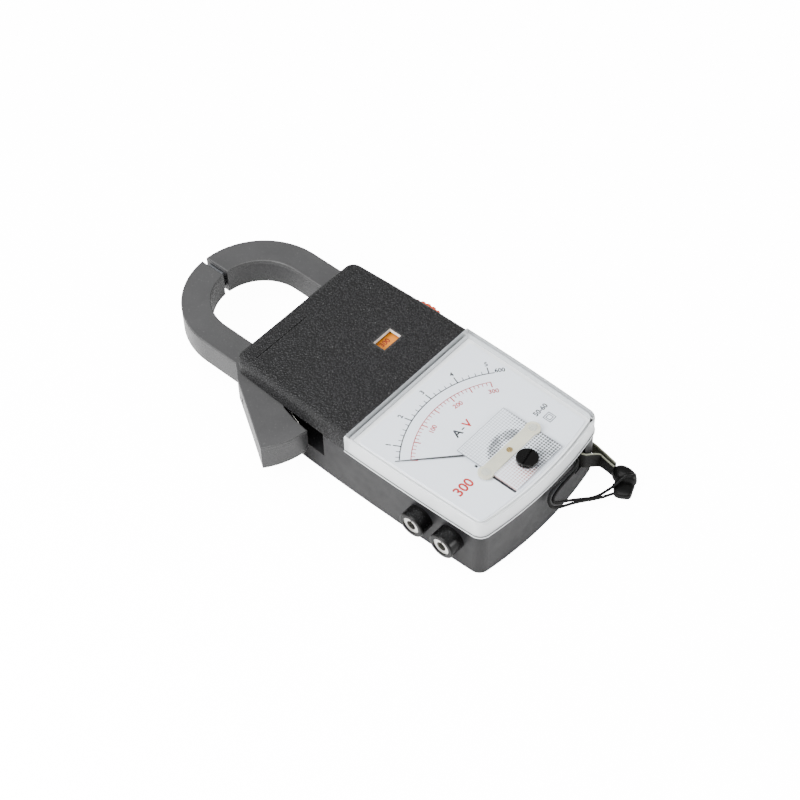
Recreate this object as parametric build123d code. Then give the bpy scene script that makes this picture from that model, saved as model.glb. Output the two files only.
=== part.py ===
"""Analogue clamp meter with split jaws, trigger, range thumbwheel and needle movement.

Frame: origin on the back face, X=0 on the centre plane, Y=0 at the joint between the
cover and the clear lens, Z=0 on the back face. +Y runs to the jaws and +Z out of the dial.
"""
import os
from math import cos, pi, radians, sqrt, tan

from build123d import *

# ---------------------------------------------------------------- driving dimensions (mm)
BODY_HEIGHT = 31.0
SEAM_Z = 22.6
HALF_WIDTH_MID = 35.0
HALF_WIDTH_JAW_END = 33.2
HALF_WIDTH_FOOT = 33.5
JAW_END_Y = 58.0
FOOT_CORNER_Y = -63.6
FOOT_BULGE_Y = -67.0
CORNER_R = 4.6
CASE_WALL = 2.2
LENS_WALL = 1.6
LENS_ROOF = 1.5
PART_GAP = 0.1
DIAL_TOP_Z = 27.6
DIAL_THICKNESS = 0.8

JAW_BOTTOM_Z = 11.0
JAW_TOP_Z = 23.0
JAW_LID = 1.7
JAW_OUTER_R = 31.0
JAW_INNER_R = 19.3
JAW_CENTRE_Y = 77.0
JAW_WALL = 2.2
JAW_TIP_GAP = 1.1
CORE_HALF_GAP = 0.05
CORE_FIT = 0.15
CORE_LOW_Z = 13.4
CORE_HIGH_Z = 20.8
CORE_LEG_LOW_Y = 46.0
CORE_LEG_HIGH_Y = 53.0
PIVOT = (-26.0, 40.0)
PIVOT_PIN_R = 1.5
PIVOT_BUSH_R = 2.5
BUSH_CLEARANCE = 0.05
JAW_CLEARANCE = 0.5

RECESS_LOW_Y = 11.0
RECESS_INNER_X = -20.8
RECESS_FLOOR_Z = JAW_BOTTOM_Z - JAW_CLEARANCE
RECESS_ROOF_Z = JAW_TOP_Z + 0.4
RECESS_WALL = 1.6

WHEEL_CENTRE = (20.0, 19.3)
WHEEL_R = 16.8
WHEEL_LOW_Z = 25.0
WHEEL_TOP_Z = 28.0
WHEEL_HUB_R = 4.0
WHEEL_AXLE_R = 1.5
WHEEL_STEPS = 10
WINDOW_MIN = (5.1, 15.8)
WINDOW_MAX = (16.0, 22.9)

MOVEMENT_X = 0.2
MOVEMENT_Y = -48.9
NEEDLE_REST_DEG = 136.8
ADJUSTER_Y = -57.1
ADJUSTER_ECCENTRIC = 1.2

JACK_YS = (-36.5, -50.8)
JACK_Z = 14.3
JACK_FACE_X = -40.3
JACK_COLLAR_R = 5.4
JACK_NECK_R = 4.2
JACK_SOCKET_R = 3.6
JACK_BORE_R = 2.0
JACK_BORE_LENGTH = 19.0
JACK_SLIT = 0.6
JACK_SEAT_DEPTH = 0.5
JACK_WALL = 2.8

BOARD_LOW_Z = 14.0
BOARD_THICKNESS = 1.6
SCREW_POSTS = ((-28.5, 4.4), (5.0, 4.6), (28.0, 39.6), (-10.0, 37.6))
POST_R = 3.2
SCREW_R = 1.5
SCREW_HEAD_R = 2.6
BOARD_POSTS = ((-10.0, -20.0), (28.0, -20.0), (-10.0, 28.0), (10.0, 30.5))
LABEL_SIZE = (44.0, 30.0)
LABEL_Y = -18.0

BAND_WIDTH = 6.2
BAND_THICKNESS = 0.8
CORD_D = 1.25

BOARD_TOP_Z = BOARD_LOW_Z + BOARD_THICKNESS
COVER_INNER_Z = BODY_HEIGHT - CASE_WALL
LENS_INNER_Z = BODY_HEIGHT - LENS_ROOF
JAW_LID_Z = JAW_TOP_Z - JAW_LID
MOVEMENT = (MOVEMENT_X, MOVEMENT_Y)
NODES = {}


# ---------------------------------------------------------------- small helpers
def block(x0, x1, y0, y1, z0, z1):
    """Box between two corners."""
    return Pos((x0 + x1) / 2, (y0 + y1) / 2, (z0 + z1) / 2) * Box(x1 - x0, y1 - y0, z1 - z0)


def rod(centre, radius, z0, z1):
    """Upright cylinder."""
    return Pos(centre[0], centre[1], (z0 + z1) / 2) * Cylinder(radius, z1 - z0)


def ring(centre, outer, inner, z0, z1):
    """Upright tube."""
    return rod(centre, outer, z0, z1) - rod(centre, inner, z0, z1)


def bar_x(y, z, radius, x0, x1):
    """Cylinder along X."""
    return Pos((x0 + x1) / 2, y, z) * Rot(0, 90, 0) * Cylinder(radius, x1 - x0)


def prism(points, z0, z1):
    """Upright prism on a polygon."""
    face = make_face(Polyline(*points, close=True))
    return Pos(0, 0, z0) * extrude(face, z1 - z0)


def node(name, solid, colour):
    """Record one sub-part under its node name."""
    solid.label = name
    solid.color = Color(*colour)
    NODES[name] = solid


def bundle(solids):
    """Several separate solids in one node."""
    return Compound(children=list(solids))


def body_outline(inset):
    """Plan outline of the whole case: barrel sides, straight jaw end, bowed foot."""
    foot, mid, top = HALF_WIDTH_FOOT - inset, HALF_WIDTH_MID - inset, HALF_WIDTH_JAW_END - inset
    y_foot, y_top = FOOT_CORNER_Y + inset, JAW_END_Y - inset
    edges = [
        ThreePointArc((-foot, y_foot), (0, FOOT_BULGE_Y + inset), (foot, y_foot)),
        ThreePointArc((foot, y_foot), (mid, 0), (top, y_top)),
        Line((top, y_top), (-top, y_top)),
        ThreePointArc((-top, y_top), (-mid, 0), (-foot, y_foot)),
    ]
    face = make_face(Curve() + edges)
    return fillet(face.vertices(), CORNER_R - inset)


def body_prism(inset, z0, z1):
    """The case outline, inset, as an upright prism."""
    return Pos(0, 0, z0) * extrude(body_outline(inset), z1 - z0)


def flat_edges(solid, z):
    """Edges that lie flat in the plane at height z."""
    return solid.edges().filter_by(lambda e: abs(e.bounding_box().max.Z - z) < 1e-4
                                   and abs(e.bounding_box().min.Z - z) < 1e-4)


# ---------------------------------------------------------------- case, cover and lens
FAR = 60.0
POST_FOOT_R = 4.2
HEAD_LOW_Z = 1.0
HEAD_TOP_Z = 3.0
LABEL_DEPTH = 0.5
SEAM_CHAMFER = 0.25
STRAP_SLOT_FOOT = ((18.2, 24.9), (11.6, 21.2))
STRAP_SLOT_SIDE = ((-57.8, -54.2), (2.9, 10.3))


def label_slab(grow, z0, z1):
    """Rounded rectangle of the rating plate, grown by a margin."""
    width, height = LABEL_SIZE
    outline = RectangleRounded(width + 2 * grow, height + 2 * grow, 2.0 + grow)
    return Pos(0, LABEL_Y, z0) * extrude(outline, z1 - z0)


def back_case():
    """Black tray: floor, walls, trigger recess, screw posts and strap slots."""
    outer = body_prism(0, 0, SEAM_Z)
    outer = fillet(flat_edges(outer, 0), 1.2)
    outer = chamfer(flat_edges(outer, SEAM_Z), SEAM_CHAMFER)
    case = outer - body_prism(CASE_WALL, CASE_WALL, SEAM_Z + 1)
    recess_in = RECESS_INNER_X + RECESS_WALL
    shelf = block(
        -FAR, recess_in, RECESS_LOW_Y - RECESS_WALL, FAR, RECESS_FLOOR_Z - RECESS_WALL, RECESS_FLOOR_Z)
    end_wall = block(-FAR, recess_in, RECESS_LOW_Y - RECESS_WALL, RECESS_LOW_Y, RECESS_FLOOR_Z, SEAM_Z)
    inner_wall = block(RECESS_INNER_X, recess_in, RECESS_LOW_Y, 33.0, RECESS_FLOOR_Z, SEAM_Z)
    inside = body_prism(CASE_WALL / 2, CASE_WALL, SEAM_Z)
    case += (shelf + end_wall + inner_wall) & inside
    case += rod(PIVOT, 4.2, CASE_WALL / 2, RECESS_FLOOR_Z)
    case += rod(WHEEL_CENTRE, 2.6, CASE_WALL / 2, BOARD_LOW_Z)
    for centre in SCREW_POSTS:
        case += rod(centre, POST_FOOT_R, CASE_WALL / 2, 6.0) + rod(centre, POST_R, 6.0, SEAM_Z)
    for x, y in BOARD_POSTS:
        case += rod((x, y), 2.2, CASE_WALL / 2, BOARD_LOW_Z)
    for y in (-59.6, -38.4):
        case += block(-15.0, 15.4, y - 1.4, y + 1.4, CASE_WALL / 2, FRAME_LOW_Z)
    case += block(19.0, 31.6, 42.6, 44.6, CASE_WALL / 2, JAW_BOTTOM_Z)
    case -= block(-FAR, RECESS_INNER_X + 2.0, RECESS_LOW_Y, FAR, RECESS_FLOOR_Z, SEAM_Z + 1) \
        - block(RECESS_INNER_X, FAR, 0, 34.0, 0, FAR)
    jaw_slot = JAW_INNER_R - 0.3
    case -= block(-FAR, -jaw_slot, 50.0, FAR, RECESS_FLOOR_Z, SEAM_Z + 1)
    case -= block(jaw_slot, JAW_OUTER_R + 0.3, JAW_END_Y - CASE_WALL - 1, FAR, JAW_BOTTOM_Z - 0.3, SEAM_Z + 1)
    case -= rod(PIVOT, PIVOT_PIN_R, 4.0, FAR)
    case -= rod(WHEEL_CENTRE, WHEEL_AXLE_R, 6.0, FAR)
    for centre in SCREW_POSTS:
        case -= rod(centre, SCREW_HEAD_R + 0.3, -1, HEAD_TOP_Z) + rod(centre, SCREW_R + 0.1, 0, SEAM_Z + 1)
    for y in JACK_YS:
        seat_x = jack_seat_x(y)
        case += bar_x(y, JACK_Z, JACK_COLLAR_R + 1.2, seat_x + CASE_WALL / 2, seat_x + JACK_WALL)
        case -= bar_x(y, JACK_Z, JACK_COLLAR_R + 0.05, -FAR, seat_x)
        case -= bar_x(y, JACK_Z, JACK_NECK_R, -FAR, -25.0)
    (x0, x1), (z0, z1) = STRAP_SLOT_FOOT
    case -= block(x0, x1, -FAR - 10, FOOT_CORNER_Y + CASE_WALL + 1, z0, z1)
    (y0, y1), (z0, z1) = STRAP_SLOT_SIDE
    case -= block(HALF_WIDTH_FOOT - CASE_WALL - 1, FAR, y0, y1, z0, z1)
    case -= label_slab(0.2, 0, LABEL_DEPTH)
    return case


def back_label():
    """Blank rating plate sunk in the back."""
    return label_slab(0, 0.15, LABEL_DEPTH)


def top_cover():
    """Grained black cover over the jaw mechanism, with the range window and wheel slot."""
    region = block(-FAR, FAR, PART_GAP, FAR, SEAM_Z, BODY_HEIGHT)
    outer = fillet(flat_edges(body_prism(0, SEAM_Z, BODY_HEIGHT), BODY_HEIGHT), 2.6) & region
    hollow = body_prism(CASE_WALL, SEAM_Z - 1, COVER_INNER_Z)
    hollow &= block(-FAR, FAR, PART_GAP + CASE_WALL, FAR, 0, FAR)
    cover = outer - hollow
    inside = body_prism(CASE_WALL / 2, SEAM_Z, BODY_HEIGHT - CASE_WALL / 2)
    bosses = rod(PIVOT, 4.2, RECESS_ROOF_Z, COVER_INNER_Z + 0.5)
    for centre in SCREW_POSTS:
        bosses += rod(centre, POST_R - 0.4, SEAM_Z, COVER_INNER_Z + 0.5)
    cover += bosses & inside
    cover -= block(-FAR, RECESS_INNER_X + RECESS_WALL, RECESS_LOW_Y, FAR, 0, RECESS_ROOF_Z)
    cover -= block(-FAR, JAW_OUTER_R + 0.3, JAW_END_Y - CASE_WALL - 1, FAR, 0, RECESS_ROOF_Z)
    cover -= rod(PIVOT, PIVOT_PIN_R, 0, COVER_INNER_Z - 1)
    for centre in SCREW_POSTS:
        cover -= rod(centre, SCREW_R, 0, COVER_INNER_Z - 0.8)
    cover -= block(WINDOW_MIN[0], WINDOW_MAX[0], WINDOW_MIN[1], WINDOW_MAX[1], 0, FAR)
    wheel_chord = sqrt(WHEEL_R ** 2 - (HALF_WIDTH_MID - CASE_WALL - WHEEL_CENTRE[0]) ** 2) + 1.0
    cover -= block(30.0, FAR, WHEEL_CENTRE[1] - wheel_chord, WHEEL_CENTRE[1] + wheel_chord,
                   WHEEL_LOW_Z - 0.3, WHEEL_TOP_Z + 0.3)
    cover -= block(-28.5, -0.5, 50.1, 50.7, BODY_HEIGHT - 0.4, FAR)
    return cover


def meter_lens():
    """Clear moulded lens box over the dial, with a thin flange on the seam."""
    region = block(-FAR, FAR, -FAR - 10, 0, SEAM_Z, BODY_HEIGHT)
    outer = fillet(flat_edges(body_prism(0, SEAM_Z, BODY_HEIGHT), BODY_HEIGHT), 0.9) & region
    flange = body_prism(-0.35, SEAM_Z, SEAM_Z + 0.8) & region
    hollow = body_prism(LENS_WALL, SEAM_Z - 1, LENS_INNER_Z) & block(-FAR, FAR, -FAR - 10, -LENS_WALL, 0, FAR)
    lens = outer + flange - hollow
    lens -= rod((MOVEMENT_X, ADJUSTER_Y), ADJUSTER_SHANK_R + 0.05, 0, FAR)
    return lens


def range_window():
    """Pale clear tray set in the cover over the range wheel."""
    fit = 0.02
    x0, y0 = WINDOW_MIN[0] + fit, WINDOW_MIN[1] + fit
    x1, y1 = WINDOW_MAX[0] - fit, WINDOW_MAX[1] - fit
    rim = 0.7
    tray = block(x0, x1, y0, y1, WHEEL_TOP_Z + 0.4, BODY_HEIGHT - 0.1)
    return tray - block(x0 + rim, x1 - rim, y0 + rim, y1 - rim, WHEEL_TOP_Z + 1.0, FAR)


def case_screws():
    """Four pan-head screws from the back into the cover."""
    screws = []
    for centre in SCREW_POSTS:
        screw = rod(centre, SCREW_HEAD_R, HEAD_LOW_Z, HEAD_TOP_Z) + rod(centre, SCREW_R, HEAD_TOP_Z, 27.6)
        for angle in (0, 90):
            slot = Box(2 * SCREW_HEAD_R * 0.62, 0.7, 1.6)
            screw -= Pos(centre[0], centre[1], HEAD_LOW_Z) * Rot(0, 0, angle) * slot
        screws.append(screw)
    return bundle(screws)


# ---------------------------------------------------------------- jaws
TIP_GAP_X = 0.1
JAW_EDGE_R = 0.5
JAW_SEAM = 0.15


def jaw_half(side, outer, inner, tip_x, low_y):
    """Half of the jaw horseshoe in plan, as a face. side is +1 fixed or -1 moving."""
    ring_face = Pos(0, JAW_CENTRE_Y) * (Circle(outer) - Circle(inner))
    ring_face &= Pos(0, JAW_CENTRE_Y + FAR / 2) * Rectangle(2 * FAR, FAR)
    leg = Pos(side * (outer + inner) / 2, (JAW_CENTRE_Y + low_y) / 2)
    leg = leg * Rectangle(outer - inner, JAW_CENTRE_Y - low_y)
    keep = Pos(tip_x + side * FAR, JAW_CENTRE_Y) * Rectangle(2 * FAR, 2 * FAR)
    return (ring_face + leg) & keep


def jaw_body(face, z0, z1):
    """Upright prism on a jaw face."""
    return Pos(0, 0, z0) * extrude(face, z1 - z0)


def jaw_tray(face):
    """Lower moulding of a jaw: rounded below, with a finely eased edge at the lid."""
    tray = jaw_body(face, JAW_BOTTOM_Z, JAW_LID_Z)
    tray = fillet(flat_edges(tray, JAW_BOTTOM_Z), JAW_EDGE_R)
    return fillet(flat_edges(tray, JAW_LID_Z), JAW_SEAM)


def jaw_cap(face):
    """Upper moulding of a jaw, rounded above."""
    cap = jaw_body(face, JAW_LID_Z, JAW_TOP_Z)
    return fillet(flat_edges(cap, JAW_TOP_Z), JAW_EDGE_R)


def trigger_face():
    """Plan of the moving jaw inside the case, its pivot boss and the trigger wing."""
    boss = Pos(*PIVOT) * Circle(5.6)
    outer_end, inner_end = (-54.6, 23.9), (-37.0, 17.0)
    sides = Polyline(inner_end, (-36.2, 24.0), (-34.6, 30.8), (-30.0, 37.2), (-26.0, 45.4), (-22.0, 45.6),
                     (-22.0, 54.6), (-19.3, 54.6), (-19.3, 60.0), (-31.0, 60.0), (-33.2, 57.2), (-36.0, 54.2),
                     (-46.2, 37.4), outer_end)
    swept_end = ThreePointArc(outer_end, (-46.0, 19.0), inner_end)
    return make_face(Curve() + [sides, swept_end]) + boss


MOVING_TIP = TIP_GAP_X - JAW_TIP_GAP
FIXED_TIP = TIP_GAP_X + JAW_TIP_GAP
SPRING_POCKET_R = 5.0


def core_channel(side, tip_x, low_y):
    """Room for one half of the core, with the fit allowance."""
    outer, inner = JAW_OUTER_R - JAW_WALL, JAW_INNER_R + JAW_WALL
    face = jaw_half(side, outer + CORE_FIT, inner - CORE_FIT, tip_x, low_y)
    return jaw_body(face, CORE_LOW_Z - 0.1, JAW_LID_Z + 1)


def moving_jaw_shell():
    """Deep lower shell of the moving jaw and trigger."""
    face = jaw_half(-1, JAW_OUTER_R, JAW_INNER_R, MOVING_TIP, 59.0) + trigger_face()
    shell = jaw_tray(face)
    shell -= core_channel(-1, MOVING_TIP + 5, CORE_LEG_LOW_Y - 0.1)
    shell -= block(-23.0, -21.0, CORE_LEG_LOW_Y - 0.1, 54.6, CORE_LOW_Z - 0.1, FAR)
    pocket = ((-36.4, 50.0), (-51.0, 26.6), (-39.2, 20.6), (-36.6, 31.4), (-32.6, 38.2), (-33.4, 50.0))
    shell -= prism(pocket, CORE_LOW_Z, FAR)
    shell -= rod(PIVOT, SPRING_POCKET_R, CORE_LOW_Z, FAR)
    leg_room = ((-30.4, 38.8), (-36.0, 22.4), (-36.0, 14.0), (-26.0, 14.0), (-12.0, 30.0), (-21.0, 40.0))
    shell -= prism(leg_room, CORE_LOW_Z, FAR)
    shell -= rod(PIVOT, PIVOT_BUSH_R, 0, FAR)
    shell -= Pos(-39.9, 48.9, 17.0) * Rot(0, 0, -30) * Box(1.6, 2.4, 3.0)
    return shell


def moving_jaw_lid():
    """Thin upper lid of the moving jaw and trigger."""
    face = jaw_half(-1, JAW_OUTER_R, JAW_INNER_R, MOVING_TIP, 59.0) + trigger_face()
    lid = jaw_cap(face)
    lid -= rod(PIVOT, PIVOT_BUSH_R, 0, FAR)
    return lid


def fixed_base_face():
    """Foot of the fixed jaw, held inside the case."""
    points = ((JAW_INNER_R, 62.0), (JAW_INNER_R, 45.0), (30.4, 45.0), (30.4, 57.7), (JAW_OUTER_R, 57.7),
              (JAW_OUTER_R, 62.0))
    return make_face(Polyline(*points, close=True))


def fixed_jaw_shell():
    """Deep lower shell of the fixed jaw."""
    face = jaw_half(1, JAW_OUTER_R, JAW_INNER_R, FIXED_TIP, 61.0) + fixed_base_face()
    shell = jaw_tray(face)
    shell -= core_channel(1, FIXED_TIP - 5, CORE_LEG_LOW_Y - CORE_FIT)
    shell -= block(10.0, 24.0, CORE_LEG_LOW_Y - CORE_FIT, CORE_LEG_HIGH_Y + CORE_FIT, CORE_LOW_Z - 0.1, FAR)
    return shell


def fixed_jaw_lid():
    """Thin upper lid of the fixed jaw."""
    face = jaw_half(1, JAW_OUTER_R, JAW_INNER_R, FIXED_TIP, 61.0) + fixed_base_face()
    return jaw_cap(face)


def moving_core():
    """Laminated core half in the moving jaw."""
    outer, inner = JAW_OUTER_R - JAW_WALL, JAW_INNER_R + JAW_WALL
    face = jaw_half(-1, outer, inner, TIP_GAP_X - CORE_HALF_GAP, CORE_LEG_LOW_Y)
    return jaw_body(face, CORE_LOW_Z, CORE_HIGH_Z)


def fixed_core():
    """Laminated core half in the fixed jaw, with the leg that carries the winding."""
    outer, inner = JAW_OUTER_R - JAW_WALL, JAW_INNER_R + JAW_WALL
    face = jaw_half(1, outer, inner, TIP_GAP_X + CORE_HALF_GAP, CORE_LEG_LOW_Y)
    left = -(inner - 0.4)
    face += Pos((left + outer) / 2, (CORE_LEG_LOW_Y + CORE_LEG_HIGH_Y) / 2) \
        * Rectangle(outer - left, CORE_LEG_HIGH_Y - CORE_LEG_LOW_Y)
    return jaw_body(face, CORE_LOW_Z, CORE_HIGH_Z)


BOBBIN_X = (-15.0, 15.0)
BOBBIN_FLANGE = 1.0
BOBBIN_WALL = 0.8
BOBBIN_GROW = 2.7


def leg_sleeve(x0, x1, grow):
    """Box sleeve around the core leg, grown outwards by grow."""
    return block(x0, x1, CORE_LEG_LOW_Y - grow, CORE_LEG_HIGH_Y + grow, CORE_LOW_Z - grow, CORE_HIGH_Z + grow)


def coil_bobbin():
    """Flanged former on the core leg."""
    x0, x1 = BOBBIN_X
    former = leg_sleeve(x0, x1, BOBBIN_WALL)
    former += leg_sleeve(x0, x0 + BOBBIN_FLANGE, BOBBIN_GROW)
    former += leg_sleeve(x1 - BOBBIN_FLANGE, x1, BOBBIN_GROW)
    return former - leg_sleeve(x0 - 1, x1 + 1, 0)


def secondary_winding():
    """Enamelled copper winding on the former."""
    x0, x1 = BOBBIN_X[0] + BOBBIN_FLANGE, BOBBIN_X[1] - BOBBIN_FLANGE
    return leg_sleeve(x0, x1, BOBBIN_GROW - 0.5) - leg_sleeve(x0 - 1, x1 + 1, BOBBIN_WALL)


def pivot_pin():
    """Steel pin through the moving jaw's boss."""
    return rod(PIVOT, PIVOT_PIN_R, 4.0, COVER_INNER_Z - 1)


def pivot_bush():
    """Bush pressed in the moving jaw's boss."""
    return ring(PIVOT, PIVOT_BUSH_R, PIVOT_PIN_R + BUSH_CLEARANCE, JAW_BOTTOM_Z, JAW_TOP_Z)


SPRING_WIRE = 0.9
SPRING_COIL_R = 3.6


def strut(start, end, radius):
    """Round bar between two points."""
    axis = Vector(*end) - Vector(*start)
    return Plane(origin=start, z_dir=axis) * Pos(0, 0, axis.length / 2) * Cylinder(radius, axis.length)


def jaw_spring():
    """Torsion spring round the bush; one leg on the trigger, one on the recess wall."""
    x, y = PIVOT
    pitch = SPRING_WIRE * 0.92
    spring = None
    for turn in range(5):
        coil = Pos(x, y, 15.2 + turn * pitch) * Torus(SPRING_COIL_R, SPRING_WIRE / 2)
        spring = coil if spring is None else spring + coil
    leg_z = 15.2 + 4 * pitch
    spring += strut((x - 3.4, y - 1.2, leg_z), (-35.4, 21.6, leg_z), SPRING_WIRE / 2)
    spring += strut((x + 3.4, y - 1.2, 15.2), (-21.6, 25.5, 15.2), SPRING_WIRE / 2)
    return spring


# ---------------------------------------------------------------- range switch and board
def range_wheel():
    """Thumbwheel with a knurled rim, hub and a shallow label track."""
    wheel = rod(WHEEL_CENTRE, WHEEL_R, WHEEL_LOW_Z, WHEEL_TOP_Z)
    wheel += rod(WHEEL_CENTRE, WHEEL_HUB_R, 17.2, WHEEL_LOW_Z)
    notch_count = 4 * WHEEL_STEPS
    for k in range(notch_count):
        turn = Pos(*WHEEL_CENTRE) * Rot(0, 0, k * 360 / notch_count)
        wheel -= turn * Pos(WHEEL_R + 0.35, 0, WHEEL_LOW_Z) * Cylinder(0.8, 20)
    return wheel - rod(WHEEL_CENTRE, WHEEL_AXLE_R + 0.05, 0, FAR)


def range_axle():
    """Fixed axle of the thumbwheel."""
    return rod(WHEEL_CENTRE, WHEEL_AXLE_R, 6.0, COVER_INNER_Z)


def range_wiper():
    """Spring contact with three fingers under the wheel hub."""
    z0 = BOARD_TOP_Z + 0.5
    wiper = rod(WHEEL_CENTRE, 3.9, z0 + 0.3, 17.2)
    for angle in (0, 120, 240):
        finger = Pos(5.0, 0, z0 + 0.5) * Box(9.0, 1.6, 0.4) + Pos(9.2, 0, z0 + 0.2) * Box(1.0, 1.6, 0.6)
        wiper += Pos(*WHEEL_CENTRE) * Rot(0, 0, angle) * finger
    return wiper - rod(WHEEL_CENTRE, WHEEL_AXLE_R + 0.05, 0, FAR)


def range_contacts():
    """Fixed contact pads on the board, one for each range."""
    pads = []
    for k in range(WHEEL_STEPS):
        place = Pos(*WHEEL_CENTRE) * Rot(0, 0, k * 360 / WHEEL_STEPS)
        pads.append(place * Pos(9.2, 0, BOARD_TOP_Z + 0.15) * Cylinder(1.2, 0.3))
    return bundle(pads)


def detent_spring():
    """Leaf spring that clicks in the wheel's rim notches."""
    y0 = WHEEL_CENTRE[1] + WHEEL_R + 0.12
    post_y = SCREW_POSTS[2][1] - POST_R + 0.4
    leaf = block(12.0, 29.4, y0, y0 + 0.3, WHEEL_LOW_Z + 0.2, WHEEL_TOP_Z - 0.2)
    return leaf + block(26.8, 29.2, y0 + 0.3, post_y, WHEEL_LOW_Z + 0.2, WHEEL_TOP_Z - 0.2)


def circuit_board():
    """Board on four case posts, holed for the axle and two screw posts."""
    board = block(-14.0, 31.4, -26.0, 33.0, BOARD_LOW_Z, BOARD_TOP_Z)
    board -= rod(WHEEL_CENTRE, WHEEL_AXLE_R + 0.6, 0, FAR)
    board -= rod(SCREW_POSTS[1], POST_R + 0.5, 0, FAR)
    return board


def lying_part(x, y, length, radius, angle=0.0):
    """Axial component on the board, with a lead at each end."""
    body = Rot(0, 90, 0) * Cylinder(radius, length)
    lead = Pos(length / 2 + 0.9, 0, -radius / 2) * Box(0.5, 0.5, radius)
    pair = body + Rot(0, 90, 0) * Cylinder(0.25, length + 2.3)
    pair += lead + Pos(-length - 1.8, 0, 0) * lead
    return Pos(x, y, BOARD_TOP_Z + radius) * Rot(0, 0, angle) * pair


def resistors():
    """Six film resistors."""
    return bundle(lying_part(-7.0 + 11.0 * column, -8.5 - 6.0 * row, 6.0, 1.2)
                  for column in range(3) for row in range(2))


def rectifier_diodes():
    """Four small-signal diodes of the bridge rectifier."""
    return bundle(lying_part(25.6, -6.0 - 3.6 * k, 3.6, 0.9) for k in range(4))


def trimmer():
    """Calibration potentiometer."""
    pot = block(-12.4, -5.6, 6.0, 12.8, BOARD_TOP_Z, BOARD_TOP_Z + 4.4)
    pot += rod((-9.0, 9.4), 2.4, BOARD_TOP_Z + 4.4, BOARD_TOP_Z + 5.2)
    return pot - block(-11.0, -7.0, 9.1, 9.7, BOARD_TOP_Z + 4.7, FAR)


# ---------------------------------------------------------------- needle movement
FRAME_LOW_Z = 5.0
FRAME_TOP_Z = 7.0
YOKE_R = (10.6, 13.6)
CORE_MAGNET_R = 7.4
MAGNET_Z = (10.0, 19.0)
COIL_Z = (8.2, 20.8)
NEEDLE_Z = (28.05, 28.3)
BRIDGE_Z = (28.6, 29.3)
BRIDGE_POST_X = 13.4
COLLAR_R = 2.9
ADJUSTER_SHANK_R = 2.6
ADJUSTER_HEAD_R = 4.2
ADJUSTER_TOP_Z = 32.6
LEVER_Z = (24.6, 25.4)
SCREEN_Z = (28.36, 28.56)
MOVEMENT_SCREEN = (-12.0, 14.5, -62.0, -34.3)


def around_movement(solid):
    return Pos(MOVEMENT_X, MOVEMENT_Y, 0) * solid


def dial_plate():
    """Printed dial with holes for the spindle, the bridge posts and the zero pin."""
    half_top, half_foot = 31.6, 29.9
    y_top, y_foot, y_bow = -4.1, -60.6, -63.2
    edges = [Line((-half_top, y_top), (-half_foot, y_foot)),
             ThreePointArc((-half_foot, y_foot), (0, y_bow), (half_foot, y_foot)),
             Line((half_foot, y_foot), (half_top, y_top)), Line((half_top, y_top), (-half_top, y_top))]
    face = fillet(make_face(Curve() + edges).vertices(), 1.5)
    plate = Pos(0, 0, DIAL_TOP_Z - DIAL_THICKNESS) * extrude(face, DIAL_THICKNESS)
    plate += rod(MOVEMENT, COLLAR_R, LEVER_Z[0] - 0.4, DIAL_TOP_Z - DIAL_THICKNESS)
    plate -= rod(MOVEMENT, 1.5, 0, FAR)
    for side in (-1, 1):
        plate -= rod((MOVEMENT_X + side * BRIDGE_POST_X, MOVEMENT_Y), 2.1, 0, FAR)
    plate -= block(MOVEMENT_X - 1.6, MOVEMENT_X + 1.6, ADJUSTER_Y - 2.2, ADJUSTER_Y + 2.2, 0, FAR)
    return plate


def dial_surround():
    """White frame that closes the gap round the dial and carries its rim."""
    outline, wall, shelf = LENS_WALL + 0.15, LENS_WALL + 1.8, LENS_WALL + 2.8
    top = DIAL_TOP_Z - DIAL_THICKNESS
    shelf_z = top - 1.4

    def dial_side(inset, z0, z1):
        return body_prism(inset, z0, z1) & block(-FAR, FAR, -FAR - 10, -inset, 0, FAR)
    surround = dial_side(outline, SEAM_Z, top) - dial_side(wall, SEAM_Z - 1, top + 1)
    return surround + (dial_side(outline, shelf_z, top) - dial_side(shelf, shelf_z - 1, top + 1))


def movement_screen():
    """Thin printed screen over the movement, between the needle and the upper bridge."""
    low_x, high_x, low_y, high_y = MOVEMENT_SCREEN
    screen = block(low_x, high_x, low_y, high_y, *SCREEN_Z) & body_prism(LENS_WALL + 1.0, 0, FAR)
    screen -= rod(MOVEMENT, 1.5, 0, FAR)
    for side in (-1, 1):
        screen -= rod((MOVEMENT_X + side * BRIDGE_POST_X, MOVEMENT_Y), 2.1, 0, FAR)
    slot_r = ADJUSTER_SHANK_R + 0.3
    return screen - rod((MOVEMENT_X, ADJUSTER_Y), slot_r, 0, FAR)


def dial_brackets():
    """Four posts that hold the dial above the case floor."""
    posts = []
    for x, y in ((-26.0, -10.0), (26.0, -34.0), (-22.0, -27.0), (18.6, -56.6)):
        posts.append(rod((x, y), 2.0, CASE_WALL, DIAL_TOP_Z - DIAL_THICKNESS))
    return bundle(posts)


def movement_frame():
    """Lower bridge plate with two posts up to the upper bridge."""
    frame = block(-15.0, 15.4, -60.4, -37.4, FRAME_LOW_Z, FRAME_TOP_Z)
    for side in (-1, 1):
        post_x = MOVEMENT_X + side * (BRIDGE_POST_X + 1.4)
        frame += rod((post_x, MOVEMENT_Y), 1.0, FRAME_TOP_Z, BRIDGE_Z[0] - 6)
        frame += rod((MOVEMENT_X + side * BRIDGE_POST_X, MOVEMENT_Y), 1.8, BRIDGE_Z[0] - 6, BRIDGE_Z[0])
    return frame - rod(MOVEMENT, 1.2, 0, FAR)


def movement_yoke():
    """Soft-iron return ring."""
    return ring(MOVEMENT, YOKE_R[1] - 0.2, YOKE_R[0], FRAME_TOP_Z, 20.0)


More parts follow.
